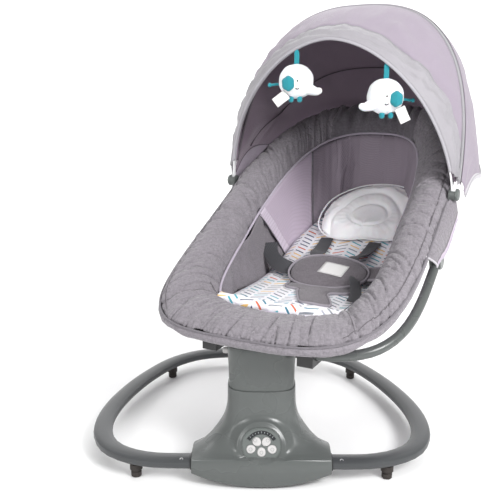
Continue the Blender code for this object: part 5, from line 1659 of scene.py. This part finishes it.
def level_at(f):
    """The housing's outline values at a share of the run over its levels."""
    k = clamp(f) * (len(LEVELS) - 1)
    i = min(int(k), len(LEVELS) - 2)
    s = k - i
    out = []
    for j in range(7):
        a = LEVELS[max(i - 1, 0)][j]
        b, c = LEVELS[i][j], LEVELS[i + 1][j]
        d = LEVELS[min(i + 2, len(LEVELS) - 1)][j]
        m0 = (c - a) / 2 if (c - b) * (b - a) > 0 else 0.0
        m1 = (d - b) / 2 if (d - c) * (c - b) > 0 else 0.0
        out.append((2 * s ** 3 - 3 * s * s + 1) * b + (s ** 3 - 2 * s * s + s) * m0
                   + (3 * s * s - 2 * s ** 3) * c + (s ** 3 - s * s) * m1)
    return out


def rear_power(z):
    """The foot's rear edge runs in nearly straight, so each end is little wider than its tube."""
    return 1.12 + 1.88 * smoothstep(0.050, 0.090, z)


def housing_ring(level, inset):
    """One ring of the housing's skin, dished at the front for the control panel."""
    z, half, front, back, mid, power, droop = level
    ring = []
    for i in range(HOUSING_POINTS):
        a = TWO_PI * (i + 0.5) / HOUSING_POINTS
        c, s = cos(a), sin(a)
        bend = rear_power(z) if s > 0 else power
        x = (half - inset) * sgnpow(c, 2 / bend)
        reach = (back - mid - inset) if s > 0 else (mid - front - inset)
        y = mid + reach * sgnpow(s, 2 / bend)
        lim = FOOT_HALF - inset
        x = clamp(x, -lim, lim)
        zz = z - 0.021 * droop * (x / FOOT_HALF) ** 2
        if s < 0:
            u, v = on_panel(x, y, zz)
            r = hypot(x / 0.036, (v - 0.002) / 0.034)
            if zz > 0.0515:
                k = smoothstep(0.0, 1.0, clamp((1.55 - r) / 0.60))
                y = y * (1 - k) + (PANEL_Y + (zz - PANEL_Z) * tan(PANEL_TILT) + inset) * k
            if inset == 0.0:
                u, v = on_panel(x, y, zz)
                edge = (abs(u) / 0.0320) ** 2.3 + (abs(v - 0.0045) / 0.0278) ** 2.3
                y += 0.0042 * smoothstep(1.05, 0.97, edge) if zz > 0.045 else 0.0
                crest = hypot(u / 0.0385, (v - 0.004) / 0.0365)
                y -= 0.0016 * exp(-((crest - 1.06) / 0.07) ** 2) * smoothstep(-0.010, 0.006, v)
        ring.append(Vector((x, y, zz)))
    return ring


def seam_dent(p):
    """The parting line between the housing's front and rear shells."""
    return exp(-((p.y - SPLIT_Y) / 0.0007) ** 2)


def make_housing():
    """The pedestal's two shells as one skin, with the dished panel seat and the parting line."""
    rows = [housing_ring(level_at(k / HOUSING_STEPS), 0.0) for k in range(HOUSING_STEPS + 1)]
    for z, inset in ((HOUSING_TOP + 0.0006, 0.0006), (HOUSING_TOP + 0.0008, 0.0016), (HOUSING_TOP, 0.0028),
                     (HOUSING_TOP - 0.012, 0.0030)):
        rows.append(housing_ring((z,) + LEVELS[-1][1:], inset))
    for row in rows:
        for p in row:
            if seam_dent(p) > 0.05 and p.z > 0.006:
                mid = Vector((0, SPLIT_Y, p.z))
                p += (mid - p).normalized() * (0.0007 * seam_dent(p))
    bottom = [Vector((p.x * 0.985, (p.y + 0.02) * 0.97 - 0.02, p.z - 0.0004)) for p in rows[0]]
    inside = [Vector((p.x * 0.97, (p.y + 0.02) * 0.94 - 0.02, p.z + 0.004)) for p in rows[0]]
    piece("pedestal_housing", skin([inside, bottom] + rows, loop_cols=True, caps=True), PLASTIC, "base",
          seat_frame=False, replaces=("pedestal_front_shell", "pedestal_rear_shell"))


def ring_bead(name, points, size, material, body, normal):
    """A thin closed bead along points."""
    piece(name, sweep(points, oval(size, size, 8), up=normal, closed=True), material, body, seat_frame=False)


def make_panel_marks():
    """The panel's rim, the ticks of its display and a ring on each button."""
    normal = panel_point(0, 0, 1) - panel_point(0, 0, 0)
    edge = [panel_point(u, v + 0.0045, 0.0002) for u, v in oval(0.0645, 0.0562, 120, 2.3)]
    ring_bead("panel_rim", edge, 0.0014, PLASTIC_LIGHT, "base", normal)
    for i in range(9):
        a = pi / 2 + radians(46) * (1 - i / 4)
        c, s = cos(a), sin(a)
        tick = ((-0.00035, 0.00012), (0.00035, 0.00012), (0.00035, 0.00024), (-0.00035, 0.00024))
        rows = [[panel_point(r * c - q * s, r * s + q * c, w) for q, w in tick]
                for r in (0.0245, 0.0268 if i % 4 else 0.0274)]
        piece("display_tick_%d" % i, skin(rows, loop_cols=True, caps=True), SCREEN_MARK, "base",
              seat_frame=False, smooth=False)
    for name, u, v in (("button_bottom", 0.0, -0.0072), ("button_left", -0.0182, -0.0020),
                       ("button_right", 0.0182, -0.0020), ("button_upper_left", -0.0104, 0.0128),
                       ("button_upper_right", 0.0104, 0.0128)):
        rows = [panel_point(u + x, v + y, 0.00195) for x, y in oval(0.0054, 0.0054, 32)]
        ring_bead(name + "_mark", rows, 0.00045, PLASTIC_LIGHT, name, normal)


def make_base_details():
    """Collars and screws where the tubes enter the foot, and the edges of the neck."""
    for label, sign in SIDES:
        collar = [Vector((sign * 0.1186, -0.0600 + u, 0.034 + v)) for u, v in oval(0.0368, 0.0208, 60, 2.6)]
        ring_bead("tube_collar_" + label, collar, 0.0022, BLACK_PLASTIC, "base", Vector((sign, 0, 0)))
        axis = Vector((0, -0.45, 0.89)).normalized()
        start = Vector((sign * 0.1345, -0.0660, 0.034)) + axis * 0.0070
        screw = turned(start, axis, [(0, 0.0034), (0.0020, 0.0034), (0.0026, 0.0030), (0.0026, 0.0018),
                                     (0.0014, 0.0016), (0.0013, 0.0004)], 28)
        piece("tube_screw_" + label, screw, STEEL, "base", seat_frame=False)
    for name, wide, deep, z, material in (("neck_joint_shadow", 0.1106, 0.0832, 0.1526, BLACK_PLASTIC),
                                          ("neck_top_edge", 0.1184, 0.0906, 0.2262, PLASTIC_LIGHT)):
        ring = [Vector((x, y, z)) for x, y in oval(wide, deep, 140, 3.2)]
        ring_bead(name, ring, 0.0012, material, "base", UP)


# ---------------------------------------------------------------- looks of the solids
MERGE_DISTANCE = 0.00002
CRISP_ANGLE = radians(32)


def smoothing_tree():
    """Smooth shading for a solid, with its sharper edges left crisp."""
    tree = bpy.data.node_groups.new("soft_shading", "GeometryNodeTree")
    for way in ("INPUT", "OUTPUT"):
        tree.interface.new_socket("Geometry", in_out=way, socket_type="NodeSocketGeometry")
    kinds = ("NodeGroupInput", "GeometryNodeMergeByDistance", "GeometryNodeSetShadeSmooth",
             "GeometryNodeSetShadeSmooth", "NodeGroupOutput")
    chain = [tree.nodes.new(kind) for kind in kinds]
    for a, b in zip(chain, chain[1:]):
        tree.links.new(a.outputs[0], b.inputs[0])
    merge, faces, edges = chain[1:4]
    merge.inputs["Distance"].default_value = MERGE_DISTANCE
    faces.domain = "FACE"
    edges.domain = "EDGE"
    edges.inputs["Shade Smooth"].default_value = False
    angle = tree.nodes.new("GeometryNodeInputMeshEdgeAngle")
    sharp = tree.nodes.new("FunctionNodeCompare")
    sharp.data_type = "FLOAT"
    sharp.operation = "GREATER_THAN"
    sharp.inputs[1].default_value = CRISP_ANGLE
    tree.links.new(angle.outputs["Unsigned Angle"], sharp.inputs[0])
    tree.links.new(sharp.outputs["Result"], edges.inputs["Selection"])
    return tree


SOFT_SHADING = smoothing_tree()


def dress_solids():
    """Gives every solid its material and a smooth, crisp-edged shading."""
    for part in frame["record"]["subparts"]:
        name = part["node"]
        ob = NODES[name]
        look = LOOKS[part["material_slot"]][0]
        if name in ("control_fascia", "hinge_cap_left", "hinge_cap_right", "side_plate_left", "side_plate_right"):
            look = PLASTIC_LIGHT
        if name.startswith("hoop_tube"):
            look = PLASTIC
        ob.data.materials.clear()
        ob.data.materials.append(look)
        m = ob.modifiers.new("soft_shading", "NODES")
        m.node_group = SOFT_SHADING


# ---------------------------------------------------------------- build
dress_solids()
make_rim_pad()
make_rim_trims()
make_side_band()
make_bag()
make_walls()
make_liner()
make_pillow()
make_buckle()
make_crotch_pad()
make_harness()
make_canopy_front()
make_bindings()
make_canopy_rear()
make_skirts()
make_toy("left", -1)
make_toy("right", 1)
make_housing()
make_panel_marks()
make_base_details()

# ---------------------------------------------------------------- floor, camera and light
floor = bpy.data.meshes.new("floor")
FLOOR_Z = -0.0002
COVE_START, COVE_RADIUS = 2.2, 1.2
sweep_line = [(-5.0, FLOOR_Z), (COVE_START, FLOOR_Z)]
sweep_line += [(COVE_START + COVE_RADIUS * sin(a * pi / 32), COVE_RADIUS - COVE_RADIUS * cos(a * pi / 32))
               for a in range(1, 17)]
sweep_line.append((3.4, 6.0))
floor.from_pydata([(x, y, z) for y, z in sweep_line for x in (-7, 7)], [],
                  [(2 * i, 2 * i + 1, 2 * i + 3, 2 * i + 2) for i in range(len(sweep_line) - 1)])
for face in floor.polygons:
    face.use_smooth = True
FLOOR = Look("floor_paper", rough=0.75)
grain = FLOOR.ramp(FLOOR.noise(3.0, 3.0), [(0.3, (0.90, 0.90, 0.90)), (0.7, (0.92, 0.92, 0.92))])
FLOOR.link(grain, FLOOR.shader.inputs["Base Color"])
floor.materials.append(FLOOR.m)
ground = bpy.data.objects.new("floor", floor)
bpy.context.scene.collection.objects.link(ground)

# the camera fitted to the picture
CAMERA_AT = (-0.0026, -1.1714, 0.6553)
CAMERA_DOWN = 12.89
CAMERA_YAW = 0.86
CAMERA_LENS = 51.93
camera = bpy.data.objects.new("camera", bpy.data.cameras.new("camera"))
camera.location = CAMERA_AT
camera.rotation_euler = (radians(90 - CAMERA_DOWN), 0, radians(CAMERA_YAW))
camera.data.lens = CAMERA_LENS
camera.data.sensor_width = 36
bpy.context.scene.collection.objects.link(camera)
bpy.context.scene.camera = camera


def area_light(name, at, aim, size, power):
    """A square lamp that faces a point."""
    lamp = bpy.data.lights.new(name, "AREA")
    lamp.shape = "SQUARE"
    lamp.size = size
    lamp.energy = power
    ob = bpy.data.objects.new(name, lamp)
    ob.location = at
    ob.rotation_euler = (Vector(aim) - Vector(at)).to_track_quat("-Z", "Y").to_euler()
    bpy.context.scene.collection.objects.link(ob)


world = bpy.data.worlds.new("studio")
world.use_nodes = True
world.node_tree.nodes["Background"].inputs["Color"].default_value = (1.0, 1.0, 1.0, 1)
world.node_tree.nodes["Background"].inputs["Strength"].default_value = 0.66
bpy.context.scene.world = world
area_light("key", (1.25, -1.35, 1.55), (0, 0.1, 0.35), 0.8, 50)
area_light("fill", (-1.5, -1.3, 1.1), (0, 0.1, 0.25), 0.8, 15)
area_light("top", (0.2, 0.9, 2.3), (0.1, 0.2, 0.4), 1.4, 9)
area_light("backdrop_left", (-1.6, 1.5, 2.4), (-0.9, 3.4, 1.2), 1.2, 42)
area_light("backdrop_right", (1.6, 1.5, 2.4), (0.9, 3.4, 1.2), 1.2, 42)
bpy.context.scene.view_settings.view_transform = "Standard"
